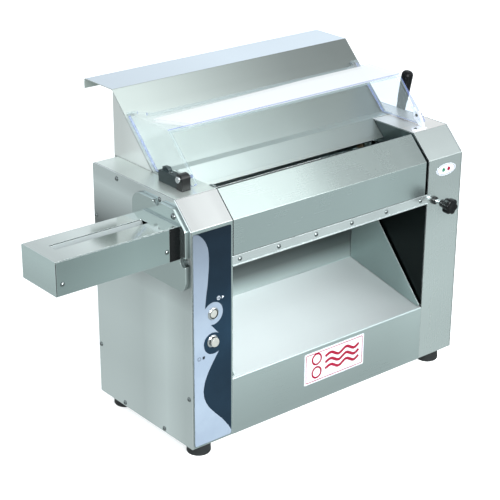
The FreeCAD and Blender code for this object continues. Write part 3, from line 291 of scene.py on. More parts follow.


# Stainless sheet, one finish per panel, each a copy of the steel with its own painted light and
# shade in tint and tones: tint, roughness, grain axis, metallic, tones
PANELS = {
    "side_l": ((0.87, 0.947, 0.95), 0.13, "Z", 1.0, {
        "Z": ((30.0, 0.912), (90.0, 0.884), (170.0, 0.927), (250.0, 0.856), (330.0, 0.268),
              (400.0, 1.0), (415.0, 0.874)),
        "Y": ((20.0, 0.823), (70.0, 1.0), (135.0, 0.838), (200.0, 0.895), (250.0, 0.902))}),
    "side_r": ((0.72, 0.79, 0.785), 0.20, "Z", 1.0, {}),
    "cham_l": ((0.488, 0.499, 0.493), 0.24, "X", 0.8, {
        "X": ((12.0, 0.832), (30.0, 0.931), (60.0, 1.0), (75.0, 0.941))}),
    "cham_f": ((0.546, 0.629, 0.604), 0.26, "X", 0.8, {
        "X": ((100.0, 0.948), (160.0, 1.0), (240.0, 0.951), (320.0, 0.645), (400.0, 0.571),
              (480.0, 0.598), (510.0, 0.538))}),
    "cham_r": ((0.583, 0.635, 0.616), 0.24, "X", 0.8, {
        "Z": ((398.0, 1.0), (411.0, 0.959), (424.0, 0.944))}),
    "deck_l": ((0.88, 0.95, 0.904), 0.34, "X", 0.8, {
        "Y": ((60.0, 1.0), (120.0, 0.774), (200.0, 0.701), (250.0, 0.89))}),
    "deck_r": ((0.95, 0.92, 0.877), 0.34, "X", 0.8, {"Y": ((60.0, 0.869), (120.0, 1.0))}),
    "front_v": ((0.477, 0.575, 0.569), 0.26, "X", 0.9, {
        "X": ((110.0, 0.867), (200.0, 0.907), (300.0, 0.932), (400.0, 1.0), (490.0, 0.938))}),
    "strip": ((0.658, 0.727, 0.727), 0.24, "X", 0.8, {
        "X": ((120.0, 0.878), (220.0, 0.894), (300.0, 0.947), (400.0, 0.888), (480.0, 1.0))}),
    "col_r": ((0.661, 0.744, 0.736), 0.26, "Z", 0.9, {
        "Z": ((50.0, 0.93), (150.0, 1.0), (250.0, 0.967), (340.0, 0.841))}),
    # nearly black up to 335 mm: painted shadow inside the right column
    "dark_in": ((0.13, 0.17, 0.17), 0.32, "Z", 1.0, {
        "Z": ((40.0, 0.11), (335.0, 0.11), (395.0, 1.0), (430.0, 1.0))}),
    # lighter to the left and to the rear: painted light on the slope
    "slope": ((0.85, 0.925, 0.93), 0.42, "X", 0.12, {
        "X": ((110.0, 1.0), (200.0, 0.989), (300.0, 0.907), (400.0, 0.756), (500.0, 0.563)),
        "Y": ((10.0, 0.715), (50.0, 0.824), (100.0, 0.935), (160.0, 1.0))}),
    # dark band from 180 to 200 mm up: painted shadow of the front cover
    "rear_w": ((0.431, 0.508, 0.5), 0.34, "X", 0.6, {
        "Z": ((150.0, 1.0), (180.0, 0.271), (200.0, 0.145), (230.0, 0.736)),
        "X": ((250.0, 1.0), (320.0, 0.918), (420.0, 0.935), (490.0, 0.855))}),
    "apron": ((0.583, 0.686, 0.68), 0.28, "X", 0.9, {
        "Z": ((15.0, 0.83), (60.0, 0.912), (95.0, 1.0)),
        "X": ((95.0, 0.88), (160.0, 0.884), (220.0, 0.877), (400.0, 0.881), (450.0, 0.917),
              (510.0, 1.0))}),
    "cheek_r": ((0.338, 0.437, 0.428), 0.36, "Y", 0.6, {
        "Y": ((20.0, 1.0), (60.0, 0.793), (100.0, 0.76), (140.0, 0.768))}),
    "chute": ((0.666, 0.738, 0.704), 0.30, "X", 0.8, {
        "X": ((100.0, 1.0), (180.0, 0.911), (300.0, 0.698), (420.0, 0.507), (530.0, 0.437)),
        "Y": ((185.0, 1.0), (200.0, 0.998), (250.0, 0.786), (270.0, 0.793))}),
    "shelf": ((0.79, 0.878, 0.95), 0.30, "X", 0.62, {
        "X": ((70.0, 0.813), (200.0, 0.882), (320.0, 0.964), (450.0, 0.969), (560.0, 1.0))}),
    "cheek_l": ((0.894, 0.928, 0.908), 0.32, "Z", 0.7, {
        "Y": ((200.0, 1.0), (220.0, 0.933), (250.0, 0.833))}),
    "cut_f": ((0.404, 0.507, 0.498), 0.14, "X", 0.9, {
        "X": ((-220.0, 0.75), (-150.0, 0.891), (-90.0, 1.0), (-40.0, 0.955)),
        "Z": ((350.0, 1.0), (385.0, 0.914))}),
    "cut_t": ((0.652, 0.704, 0.67), 0.10, "X", 0.9, {
        "X": ((-220.0, 0.651), (-150.0, 0.861), (-90.0, 0.836), (-40.0, 1.0))}),
    "cut_e": ((0.642, 0.755, 0.747), 0.14, "Y", 0.9, {"Z": ((350.0, 0.861), (385.0, 1.0))}),
    "flange": ((0.465, 0.546, 0.537), 0.14, None, 0.9, {"Z": ((300.0, 0.922), (400.0, 1.0))}),
    "lip": ((0.54, 0.60, 0.585), 0.34, "X", 0.8, {}),
    "ramp": ((0.26, 0.29, 0.29), 0.40, "X", 0.9, {}),
    "under": ((0.30, 0.34, 0.34), 0.24, "X", 0.9, {}),
    "rear": ((0.72, 0.79, 0.785), 0.24, "X", 0.9, {}),
}
for panel, (tint, roughness, grain, metallic, tones) in PANELS.items():
    steel("steel_" + panel, tint, roughness, grain, depth=0.006, spread=0.012, wave=0.012,
          metallic=metallic, tones=tones, edge_radius=0.0013)

# Steel and bronze parts: tint and roughness, then what differs from plain steel
steel("steel_inner", (0.42, 0.47, 0.47), 0.34, "Z", depth=0.06, wave=0.02)
steel("steel_roller", (0.78, 0.82, 0.83), 0.16, depth=0.02, spread=0.03)
# screws and chrome: occlusion paints sockets and recesses dark as shade
steel("steel_screw", (0.23, 0.26, 0.26), 0.20, depth=0.03, spread=0.04, bevel=0.00025,
      seam_shade_reach=0.006, seam_shade_tone=0.0, seam_shade_clear=1.0, edge_wear_and_highlight=False)
steel("steel_machined", (0.62, 0.65, 0.66), 0.34, depth=0.10, spread=0.07, bevel=0.0004)
steel("steel_chrome", (0.62, 0.65, 0.66), 0.12, depth=0.01, spread=0.02, bevel=0.0003,
      seam_shade_reach=0.0022, seam_shade_tone=0.10, seam_shade_clear=0.9)
steel("steel_spring", (0.55, 0.57, 0.58), 0.28, depth=0.04, spread=0.06, bevel=0.0001)
steel("bronze_sintered", (0.20, 0.15, 0.09), 0.50, depth=0.18, spread=0.08, bevel=0.0003)


# ---------------------------------------------------------------------------
# Plastic, rubber and printing ink
# ---------------------------------------------------------------------------
def drifting_colour(t, dark, light):
    """Colour that drifts between two tones, and the noise that drives it."""
    drift = t.noise(scale=14.0, vector=t.coords(), detail=4.0, roughness=0.6)
    return t.mix(t.remap(drift, source=(0.35, 0.68), smooth=True), dark, light), drift


def plastic(name, dark, light, roughness, grain, depth, wear, coat=0.0, bevel=0.0005,
            specular=0.5):
    """Moulded plastic or rubber: spark-eroded texture and edges polished by handling."""
    t = material(name)
    dark, light = srgb(*dark), srgb(*light)
    texture = t.noise(scale=grain, vector=t.coords(), detail=2.0, roughness=0.6)
    base, drift = drifting_colour(t, dark, light)
    edge = t.edge(bevel * 1.6)
    polished = tuple(min(1.0, channel * 1.7 + 0.02) for channel in light[:3]) + (1.0,)
    base = t.mix(t.math("MULTIPLY", edge, wear), base, polished)
    uneven = t.remap(t.weighted(texture, 0.5, drift, 0.5), source=(0.3, 0.7),
                     target=(roughness - 0.06, roughness + 0.08))
    # edges are up to 0.1 smoother
    final_roughness = t.math("SUBTRACT", uneven, t.math("MULTIPLY", edge, 0.1), clamp=True)
    normal = t.bevel(bevel, t.bump(texture, strength=depth, distance=0.0002))
    t.out(t.shader("ShaderNodeBsdfPrincipled", Base_Color=base, Roughness=final_roughness,
                   Normal=normal, Coat_Weight=coat, Coat_Roughness=0.12,
                   Specular_IOR_Level=specular))


def ink(name, dark, light, roughness=0.38, specular=0.35, painted_light_by_height=None):
    """Screen-printed film with a fine matt pebble; the height stops grade it with painted light and
    shade: (mm up, factor).
    """
    t = material(name)
    pebble = t.noise(scale=620.0, vector=t.coords(), detail=2.0, roughness=0.6)
    base, _ = drifting_colour(t, srgb(*dark), srgb(*light))
    if painted_light_by_height:
        graded = t.grade(t.position()[2], DATUM.z, painted_light_by_height)
        base = t.mix(1.0, base, graded, blend="MULTIPLY")
    pebble_roughness = t.remap(pebble, source=(0.3, 0.7),
                               target=(roughness - 0.05, roughness + 0.06))
    t.out(t.shader("ShaderNodeBsdfPrincipled", Base_Color=base, Roughness=pebble_roughness,
                   Normal=t.bump(pebble, strength=0.02, distance=0.0001),
                   Specular_IOR_Level=specular))


# Two sRGB tones each
plastic("rubber_black", (19, 23, 24), (30, 34, 35),
        roughness=0.62, grain=700.0, depth=0.12, wear=0.15)
plastic("plastic_black", (12, 14, 15), (20, 23, 24),
        roughness=0.34, grain=1100.0, depth=0.06, wear=0.25)
plastic("plastic_grip", (3, 5, 7), (6, 9, 12),
        roughness=0.42, grain=1200.0, depth=0.03, wear=0.1, specular=0.2)
plastic("plastic_grey", (30, 44, 46), (40, 54, 56),
        roughness=0.40, grain=1000.0, depth=0.08, wear=0.25)
plastic("plastic_gloss", (6, 8, 9), (10, 12, 13),
        roughness=0.26, grain=1300.0, depth=0.02, wear=0.1, specular=0.25)
plastic("motor_enamel", (52, 58, 62), (66, 72, 76),
        roughness=0.38, grain=260.0, depth=0.10, wear=0.35, coat=0.3)

ink("seam_black", (22, 26, 27), (30, 34, 35), roughness=0.5, specular=0.2)
# overlay prints graded with height: painted light and shade, darker towards the top
ink("overlay_navy", (16, 34, 48), (20, 39, 54), roughness=0.36, specular=0.18,
    painted_light_by_height=((0, 1.0), (110, 1.0), (200, 1.35), (300, 0.7), (395, 0.45)))
ink("overlay_silver", (142, 156, 173), (149, 163, 179), roughness=0.40, specular=0.25,
    painted_light_by_height=((0, 1.0), (110, 1.0), (200, 0.90), (300, 0.66), (350, 0.48), (395, 0.37)))
ink("overlay_mark_light", (200, 208, 218), (210, 218, 228))
ink("overlay_mark_dark", (20, 28, 38), (24, 33, 45))
plastic("button_cap_face", (150, 152, 148), (160, 161, 156),
        roughness=0.36, grain=900.0, depth=0.03, wear=0.1, coat=0.3, bevel=0.0006)
ink("label_white", (216, 220, 230), (224, 228, 236), roughness=0.34, specular=0.45)
ink("label_crimson", (150, 8, 46), (162, 14, 56), roughness=0.36)
ink("label_green", (40, 120, 86), (48, 130, 94), roughness=0.36)
ink("label_grey", (110, 122, 134), (124, 136, 148), roughness=0.36)


# ---------------------------------------------------------------------------
# Clear guard. A veil is the share of pale film over the clear sheet: wipe haze, fold bands and edge
# scatter, and on the top a painted reflection.
# ---------------------------------------------------------------------------
def front_veil(t, haze, geometry):
    """Almost none, with whitened bands inside the left, right and top borders."""
    position = t.position()
    bands = []
    for socket, border, sign in ((position[0], GUARD_LO.x, 1.0), (position[0], GUARD_HI.x, -1.0),
                                 (position[2], GUARD_HI.z, -1.0)):
        inward = t.math("MULTIPLY", t.math("SUBTRACT", socket, border), sign)
        body = t.remap(inward, source=(0.0046, 0.0052), target=(0.30, 0.0))
        line = t.math("MULTIPLY", t.remap(inward, source=(0.0044, 0.0050), target=(0.0, 0.45)),
                      t.remap(inward, source=(0.0052, 0.0060), target=(1.0, 0.0)))
        bands.append(t.math("ADD", body, line))
    band = t.math("MAXIMUM", t.math("MAXIMUM", bands[0], bands[1]), bands[2])
    wipes = t.remap(haze, source=(0.45, 0.8), target=(0.0, 0.012))
    return t.math("ADD", wipes, band, clamp=True)


def side_veil(t, haze, geometry):
    """Light haze, stronger on the edges."""
    wipes = t.remap(haze, source=(0.35, 0.8), target=(0.10, 0.16))
    return t.math("ADD", wipes, t.math("MULTIPLY", t.edge(0.0014), 0.25), clamp=True)


def top_veil(t, haze, geometry):
    """Painted reflection: a sheen that fills the panel on the right and narrows to a wedge on the
    left.
    """
    sheen_y = DATUM.y + 0.188  # rear limit of the sheen at its left end
    across, back, _ = t.position()
    rear_limit = t.remap(across, source=(DATUM.x + 0.060, DATUM.x + 0.420),
                         target=(sheen_y, DATUM.y + 0.203))
    inside = t.remap(t.math("SUBTRACT", rear_limit, back), source=(-0.002, 0.004), smooth=True)
    # the left limit leans 0.55 across for each step forward
    lean = t.math("MULTIPLY", t.math("SUBTRACT", sheen_y, back), 0.55)
    left = t.remap(t.math("SUBTRACT", across, lean),
                   source=(DATUM.x + 0.058, DATUM.x + 0.070), smooth=True)
    normal = t.new("ShaderNodeSeparateXYZ", {0: geometry.outputs["Normal"]})
    level = t.remap(t.math("ABSOLUTE", normal.outputs[2]), source=(0.80, 0.99), smooth=True)
    left = t.math("MULTIPLY", left, level)
    sheen = t.math("MULTIPLY", t.math("MULTIPLY", inside, left), 0.80)
    return t.math("ADD", 0.04, sheen, clamp=True)


def edge_veil(t, haze, geometry):
    """Strong scatter in the cut edge."""
    return t.remap(haze, source=(0.3, 0.7), target=(0.46, 0.58))


def polycarbonate(kind, film_colour, veil):
    """Clear sheet: Fresnel reflection, wipe haze and a pale film that also carries painted
    reflection.
    """
    t = material("polycarbonate_" + kind)
    geometry = t.new("ShaderNodeNewGeometry")
    haze = t.noise(scale=7.0, vector=t.coords((1.0, 3.0, 1.0)), detail=5.0, roughness=0.6,
                   distortion=0.4)
    hairlines = t.noise(scale=1.0, vector=t.coords((60, 900, 900)), detail=2.0, roughness=0.5)
    cosine = t.math("ABSOLUTE", t.vector_math("DOT_PRODUCT", geometry.outputs["Incoming"],
                                              geometry.outputs["Normal"]))
    schlick = t.math("POWER", t.math("SUBTRACT", 1.0, cosine), 5.0)
    # reflection is 0.012 face on and gains 0.5 at grazing angles
    fresnel = t.math("ADD", 0.012, t.math("MULTIPLY", schlick, 0.5), clamp=True)

    tint = (0.975, 0.985, 0.988, 1.0)
    if kind == "side":
        rightward = t.remap(t.position()[0], source=(DATUM.x + 0.25, DATUM.x + 0.45))
        tint = t.mix(rightward, tint, (0.89, 0.925, 0.98, 1.0))
    clear = t.shader("ShaderNodeBsdfTransparent", Color=tint)
    gloss = t.shader("ShaderNodeBsdfAnisotropic", Color=(0.95, 0.97, 1.0, 1.0),
                     Roughness=t.remap(haze, source=(0.35, 0.75), target=(0.02, 0.07)),
                     Normal=t.bump(hairlines, strength=0.003, distance=0.0001))
    film = t.shader("ShaderNodeBsdfDiffuse", Color=srgb(*film_colour))
    # the top film also glows: painted reflection of the bright overhead
    if kind == "top":
        glow = t.shader("ShaderNodeEmission", Color=srgb(246, 250, 252), Strength=0.95)
        film = t.mix_shader(0.55, film, glow)
    sheet = t.mix_shader(fresnel, clear, gloss)
    sheet = t.mix_shader(veil(t, haze, geometry), sheet, film)

    # shadow and diffuse rays pass straight through
    rays = t.new("ShaderNodeLightPath").outputs
    passing = t.shader("ShaderNodeBsdfTransparent", Color=(0.97, 0.98, 0.985, 1.0))
    passes = t.math("MAXIMUM", rays["Is Shadow Ray"], rays["Is Diffuse Ray"])
    t.out(t.mix_shader(passes, sheet, passing))


polycarbonate("front", film_colour=(150, 166, 170), veil=front_veil)
polycarbonate("side", film_colour=(214, 224, 224), veil=side_veil)
polycarbonate("top", film_colour=(246, 249, 250), veil=top_veil)
polycarbonate("edge", film_colour=(118, 132, 186), veil=edge_veil)

# ---------------------------------------------------------------------------
# Finish of every CAD node; nodes not listed are machined steel
# ---------------------------------------------------------------------------
FINISHES = {
    "steel_cham_l": ("left_column_shell",),
    "steel_col_r": ("right_column_shell",),
    "steel_side_l": ("left_side_cover",),
    "steel_side_r": ("right_side_cover",),
    "steel_rear": ("rear_cover",),
    "steel_inner": ("side_plates", "base_pan", "small_brackets"),
    "steel_screw": ("button_head_screws", "socket_bolts"),
    "steel_chute": ("infeed_chute_plate",),
    "steel_cheek_l": ("chute_side_panels",),
    "steel_front_v": ("front_cover",),
    "steel_strip": ("front_scraper", "rear_scraper"),
    "steel_apron": ("outfeed_chute",),
    "steel_cheek_r": ("outfeed_cheeks",),
    "steel_flange": ("cutter_flange_plate",),
    "steel_cut_f": ("cutter_casing", "cutter_front_plate"),
    "steel_cut_t": ("index_plate",),
    "steel_roller": ("front_roller", "rear_roller", "adjuster_shaft", "cutter_roll_front",
                     "cutter_roll_rear"),
    "steel_chrome": ("guard_pins", "lever_arm", "button_bezels", "knob_stud"),
    "steel_spring": ("carriage_springs", "drive_chain"),
    "bronze_sintered": ("roller_bushes", "carrier_bushes"),
    "rubber_black": ("rubber_feet",),
    "plastic_black": ("guard_hinges", "cable_gland", "knob_head", "knob_collar"),
    "plastic_grip": ("lever_grip",),
    "plastic_grey": ("interlock_switch", "control_box", "contact_blocks"),
    "plastic_gloss": ("cutter_bearing_blocks",),
    "motor_enamel": ("gear_motor",),
    "polycarbonate_edge": ("safety_guard",),
    "overlay_navy": ("control_overlay",),
    "button_cap_face": ("start_button", "stop_button"),
    "label_white": ("face_plates",),
}
FINISH_OF = {node: finish for finish, nodes in FINISHES.items() for node in nodes}


def dress(obj, finish):
    """Puts one finish in every slot, on the mesh and on the object."""
    materials = obj.data.materials
    if not materials:
        materials.append(finish)
    for i in range(len(materials)):
        materials[i] = finish
    for slot in obj.material_slots:
        slot.material = finish


for node, obj in NODES.items():
    dress(obj, MATERIALS[FINISH_OF.get(node, "steel_machined")])

SQUARE = 0.9  # normal component above which a face looks along an axis
guard_lo, guard_hi = to_mm(GUARD_LO), to_mm(GUARD_HI)
GUARD_BORDER = 6.0  # mm


def faces_up(at, facing):
    return facing.z > SQUARE


def faces_front(at, facing):
    return facing.y < -SQUARE


def faces_rear(at, facing):
    return facing.y > SQUARE


def faces_left(at, facing):
    return facing.x < -SQUARE


def faces_down(at, facing):
    return facing.z < -0.3


def within_guard_sides(at):
    return guard_lo.x + GUARD_BORDER < at.x < guard_hi.x - GUARD_BORDER


# Second finishes: node, finish, test of face centre (mm) and normal. Later rows win.
FACE_FINISHES = (
    # the right hinge is pale, the left one stays black
    ("guard_hinges", "label_white", lambda at, facing: at.x > 300),
    # plate at the left end of the cutting head
    ("cutter_bearing_blocks", "steel_machined", lambda at, facing: at.x < -100),
    # bent sheets: one finish per fold, each a copy of the steel with its own painted light and shade
    ("left_column_shell", "steel_deck_l", faces_up),
    ("left_column_shell", "steel_front_v", faces_front),
    ("right_column_shell", "steel_deck_r", faces_up),
    ("right_column_shell", "steel_cham_r",
     lambda at, facing: 0.3 < facing.z < SQUARE and facing.y < 0),
    # inner walls beside the outfeed: painted shadow
    ("right_column_shell", "steel_dark_in",
     lambda at, facing: abs(facing.x) > SQUARE and at.x < 540),
    ("side_plates", "steel_dark_in", lambda at, facing: at.x > 400),
    # rear faces take the plain rear steel; undersides take the darker inner steel as painted shade
    ("left_column_shell", "steel_rear", faces_rear),
    ("left_column_shell", "steel_inner", faces_down),
    ("right_column_shell", "steel_rear", faces_rear),
    ("right_column_shell", "steel_inner", faces_down),
    ("infeed_chute_plate", "steel_rear", lambda at, facing: facing.y > 0.3 or facing.z < -0.3),
    ("chute_side_panels", "steel_rear", lambda at, facing: facing.x > SQUARE and at.x > 300),
    ("front_cover", "steel_cham_f", lambda at, facing: facing.z > 0.3),
    ("outfeed_chute", "steel_slope", faces_up),
    ("outfeed_chute", "steel_rear_w", lambda at, facing: facing.y < -SQUARE and at.y > 100),
    ("infeed_chute_plate", "steel_shelf", lambda at, facing: facing.z > SQUARE and at.z > 500.0),
    ("infeed_chute_plate", "steel_lip", lambda at, facing: facing.z > SQUARE and at.z < 500.0),
    # cutting head: top, front and end faces are lit and shaded copies of one steel; ramp and
    # underside faces carry painted shade
    ("cutter_casing", "steel_cut_t", faces_up),
    ("cutter_casing", "steel_cut_e", faces_left),
    ("cutter_casing", "steel_ramp", lambda at, facing: 0.25 < facing.z <= SQUARE),
    ("cutter_casing", "steel_ramp", lambda at, facing: facing.z > SQUARE and at.z < 390),
    ("cutter_casing", "steel_under", lambda at, facing: facing.z < -SQUARE),
    ("cutter_front_plate", "steel_cut_t", faces_up),
    ("cutter_front_plate", "steel_cut_e", faces_left),
    # guard: faces that match none of these keep the cut-edge finish
    ("safety_guard", "polycarbonate_side", lambda at, facing: abs(facing.x) > SQUARE),
    ("safety_guard", "polycarbonate_front", lambda at, facing: facing.y > 0.5 and at.z > 505.0),
    ("safety_guard", "polycarbonate_top",
     lambda at, facing: abs(facing.z) > SQUARE and at.z > guard_hi.z - GUARD_BORDER),
    ("safety_guard", "polycarbonate_front",
     lambda at, facing: abs(facing.x) < 0.1 and at.z < 475.0 and within_guard_sides(at)),
    ("safety_guard", "polycarbonate_front",
     lambda at, facing: (0.3 < abs(facing.z) < SQUARE and 0.3 < abs(facing.y) < SQUARE
                         and within_guard_sides(at))),
)
for node, finish, test in FACE_FINISHES:
    mesh = NODES[node].data
    mesh.materials.append(MATERIALS[finish])
    for face in mesh.polygons:
        if test(to_mm(face.center), face.normal):
            face.material_index = len(mesh.materials) - 1


# ---------------------------------------------------------------------------
# Mesh builders
# ---------------------------------------------------------------------------
def add_piece(name, bm, finish, body, sharp_angle=None):
    """Turns a bmesh into an object; a sharp_angle in degrees makes it smooth shaded."""
    bmesh.ops.recalc_face_normals(bm, faces=bm.faces[:])
    mesh = bpy.data.meshes.new(name)
    bm.to_mesh(mesh)
    bm.free()
    obj = bpy.data.objects.new(name, mesh)
    bpy.context.scene.collection.objects.link(obj)
    mesh.materials.append(MATERIALS[finish])
    if sharp_angle is not None:
        for face in mesh.polygons:
            face.use_smooth = True
        mesh.set_sharp_from_angle(angle=math.radians(sharp_angle))
    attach(obj, body)
    return obj


def signed_area(points):
    following = points[1:] + points[:1]
    return sum(a[0] * b[1] - b[0] * a[1] for a, b in zip(points, following)) / 2.0


def print_on(name, shapes, y, thickness, finish):
    """Thin printed shapes on a face at y that looks forward.

    shapes is a list of (outline, [holes]), all closed loops of (x, z) in mm.
    """
    bm = bmesh.new()
    for outline, holes in shapes:
        loops = [outline if signed_area(outline) > 0 else outline[::-1]]
        loops += [hole if signed_area(hole) < 0 else hole[::-1] for hole in holes]
        points = [point for loop in loops for point in loop]
        front = [bm.verts.new(from_mm(x, y - thickness, z)) for x, z in points]
        back = [bm.verts.new(from_mm(x, y, z)) for x, z in points]
        for triangle in tessellate_polygon([[Vector((x, z, 0.0)) for x, z in loop]
                                            for loop in loops]):
            if signed_area([points[i] for i in triangle]) < 0:
                triangle = triangle[::-1]
            bm.faces.new([front[i] for i in triangle])
            bm.faces.new([back[i] for i in reversed(triangle)])
        first = 0
        for loop in loops:
            for i in range(len(loop)):
                here, there = first + i, first + (i + 1) % len(loop)
                bm.faces.new((front[there], front[here], back[here], back[there]))
            first += len(loop)
    add_piece(name, bm, finish, "casing")


def arc(x, z, radius, start, end, steps):
    """Points on an arc from start to end, in degrees."""
    angles = [math.radians(start + (end - start) * i / steps) for i in range(steps + 1)]
    return [(x + radius * math.cos(angle), z + radius * math.sin(angle)) for angle in angles]


def circle(x, z, radius, steps=48):
    return arc(x, z, radius, 0.0, 360.0, steps)[:-1]


def ring(x, z, outer, inner, steps=48):
    return circle(x, z, outer, steps), [circle(x, z, inner, steps)]


def rectangle(left, right, bottom, top):
    return [(left, bottom), (right, bottom), (right, top), (left, top)]


def rounded_rectangle(left, right, bottom, top, radius):
    corners = ((right - radius, top - radius), (left + radius, top - radius),
               (left + radius, bottom + radius), (right - radius, bottom + radius))
    points = []
    for quarter, (x, z) in enumerate(corners):
        points += arc(x, z, radius, 90 * quarter, 90 * quarter + 90, steps=6)
    return points


def ellipse(x, z, half_width, half_height, steps=64):
    return [(x + half_width * math.cos(2 * math.pi * i / steps),
             z + half_height * math.sin(2 * math.pi * i / steps)) for i in range(steps)]


def spline(points, steps=8):
    """Smooth open curve through the points (Catmull-Rom)."""
    padded = [points[0]] + list(points) + [points[-1]]
    curve = []
    for before, start, end, after in zip(padded, padded[1:], padded[2:], padded[3:]):
        for k in range(steps):
            t = k / steps
            curve.append(tuple(
                0.5 * (2 * b + (c - a) * t + (2 * a - 5 * b + 4 * c - d) * t * t
                       + (3 * b - a - 3 * c + d) * t ** 3)
                for a, b, c, d in zip(before, start, end, after)))
    curve.append(tuple(points[-1]))
    return curve


def stroke(points, width):
    """Closed outline of a constant-width line along an open path."""
    left, right = [], []
    for i, (x, z) in enumerate(points):
        before, after = points[max(0, i - 1)], points[min(len(points) - 1, i + 1)]
        run, rise = after[0] - before[0], after[1] - before[1]
        length = math.hypot(run, rise) or 1.0
        offset_x, offset_z = -rise / length * width / 2, run / length * width / 2
        left.append((x + offset_x, z + offset_z))
        right.append((x - offset_x, z - offset_z))
    return left + right[::-1]


THIN_FILM, THICK_FILM = 0.05, 0.06  # mm of ink

# ---------------------------------------------------------------------------
# Control overlay: silver field beside the navy ground, and button marks
# ---------------------------------------------------------------------------
overlay_lo, overlay_hi = box_mm("control_overlay")
button_lo, button_hi = box_mm("start_button")
START_X = (button_lo.x + button_hi.x) / 2
START_Z = (button_lo.z + button_hi.z) / 2
DISC_RADIUS = 19.8  # navy disc round the start button
DISC_END_ANGLE = -104.0
FIELD_INSET = 0.3

field_left, field_right = overlay_lo.x + FIELD_INSET, overlay_hi.x - FIELD_INSET
field_bottom, field_top = overlay_lo.z + FIELD_INSET, overlay_hi.z - FIELD_INSET

# Right border of the field from top to bottom, (x, z) in mm
UPPER_CURVE = [
    (8.5, field_top), (14.6, 382.3), (21.9, 376.0), (28.1, 367.6), (31.8, 360.0),
    (34.3, 350.3), (35.4, 331.0), (33.0, 297.5), (29.4, 273.7), (26.9, 250.9)]
MIDDLE_CURVE = [
    (53.8, 201.5), (47.5, 204.0), (40.2, 204.6), (33.4, 202.6), (28.2, 198.6), (24.8, 192.6),
    (24.0, 186.5), (24.9, 180.6), (27.4, 175.4), (31.8, 170.4), (37.5, 167.4), (45.8, 166.2),
    (54.5, 168.2)]
LOWER_CURVE = [
    MIDDLE_CURVE[-1], (48.2, 159.6), (42.6, 151.1), (36.2, 141.2), (30.9, 131.6), (26.2, 120.8),
    (23.6, 110.6), (22.7, 103.0), (23.1, 96.0), (24.8, 88.0), (28.0, 80.2), (33.0, 71.6),
    (39.6, 62.9), (48.0, 53.6), (56.9, 44.0), (65.0, 34.6), (71.9, 25.4), (76.8, 17.9),
    (field_right, 11.6)]
disc_x, disc_z = UPPER_CURVE[-1]
disc_start_angle = math.degrees(math.atan2(disc_z - START_Z, disc_x - START_X))
field = (
    [(field_left, overlay_lo.z + 2.4), (field_left, field_top)]
    + spline(UPPER_CURVE)
    + arc(START_X, START_Z, DISC_RADIUS, disc_start_angle, DISC_END_ANGLE, steps=40)[1:]
    + spline(MIDDLE_CURVE)
    + spline(LOWER_CURVE)[1:]
    + [(field_right, overlay_lo.z + 3.0), (overlay_hi.x - 1.1, overlay_lo.z + 1.1),
       (overlay_hi.x - 3.0, field_bottom), (overlay_lo.x + 2.4, field_bottom)])
print_on("overlay_field", [(field, [])], overlay_lo.y, THIN_FILM, "overlay_silver")

MARK_RING = {"outer": 3.5, "inner": 2.7, "steps": 32}
# start marks: a bar in a ring, and an arrow pointing right
x, z = 60.0, 263.0
print_on("overlay_marks_light",
         [ring(x - 5.2, z, **MARK_RING),
          (rectangle(x - 5.6, x - 4.8, z - 1.7, z + 1.7), []),
          ([(x + 1.4, z - 2.6), (x + 6.2, z), (x + 1.4, z + 2.6)], [])],
         overlay_lo.y, THICK_FILM, "overlay_mark_light")
# stop marks, on top of the silver field: a ring and a square
x, z = 19.5, 165.0
print_on("overlay_marks_dark",
         [ring(x - 5.0, z, **MARK_RING),
          (rectangle(x + 1.6, x + 6.4, z - 2.5, z + 2.5), [])],
         overlay_lo.y - THIN_FILM, THIN_FILM, "overlay_mark_dark")

print_on("start_ring", [ring(START_X, START_Z, outer=8.3, inner=7.10, steps=56)],
         box_mm("button_bezels")[0].y, THIN_FILM, "seam_black")

# Dark upright line on the cutter casing, just left of the front plate
plate_left = box_mm("cutter_front_plate")[0].x
casing_lo, casing_hi = box_mm("cutter_casing")
print_on("cutter_corner_joint",
         [(rectangle(plate_left - 1.2, plate_left - 0.1, casing_lo.z + 0.4, casing_hi.z - 3.0),
           [])],
         casing_lo.y, THIN_FILM, "seam_black")

# ---------------------------------------------------------------------------
# Front label: a border, two rings and three wavy lines
# ---------------------------------------------------------------------------
LABEL_LEFT, LABEL_RIGHT, LABEL_TOP = 243.5, 384.0, 98.0
RING_X, RING_HEIGHTS = -42.0, (45.0, 19.0)  # from the label's middle and bottom
WAVE_HEIGHTS, WAVE_WIDTH = (20.0, 32.0, 44.0), 5.4
# (x from the label's middle, z from the line's height)
WAVE = ((-22.0, 0.0), (-8.0, 4.0), (10.0, -4.0), (28.0, 4.0), (46.0, -4.0), (58.0, 1.5))

plate_lo = box_mm("face_plates")[0]
label_bottom = plate_lo.z
label_middle = (LABEL_LEFT + LABEL_RIGHT) / 2


def label_frame(inset, radius):
    return rounded_rectangle(LABEL_LEFT + inset, LABEL_RIGHT - inset,
                             label_bottom + inset, LABEL_TOP - inset, radius)


label = [(label_frame(inset=3.0, radius=3.0), [label_frame(inset=4.4, radius=2.0)])]
for height in RING_HEIGHTS:
    label.append(ring(label_middle + RING_X, label_bottom + height, outer=12.0, inner=8.4))
for height in WAVE_HEIGHTS:
    path = spline([(label_middle + x, label_bottom + height + z) for x, z in WAVE])
    label.append((stroke(path, WAVE_WIDTH), []))
print_on("plate_print", label, plate_lo.y, THICK_FILM, "label_crimson")

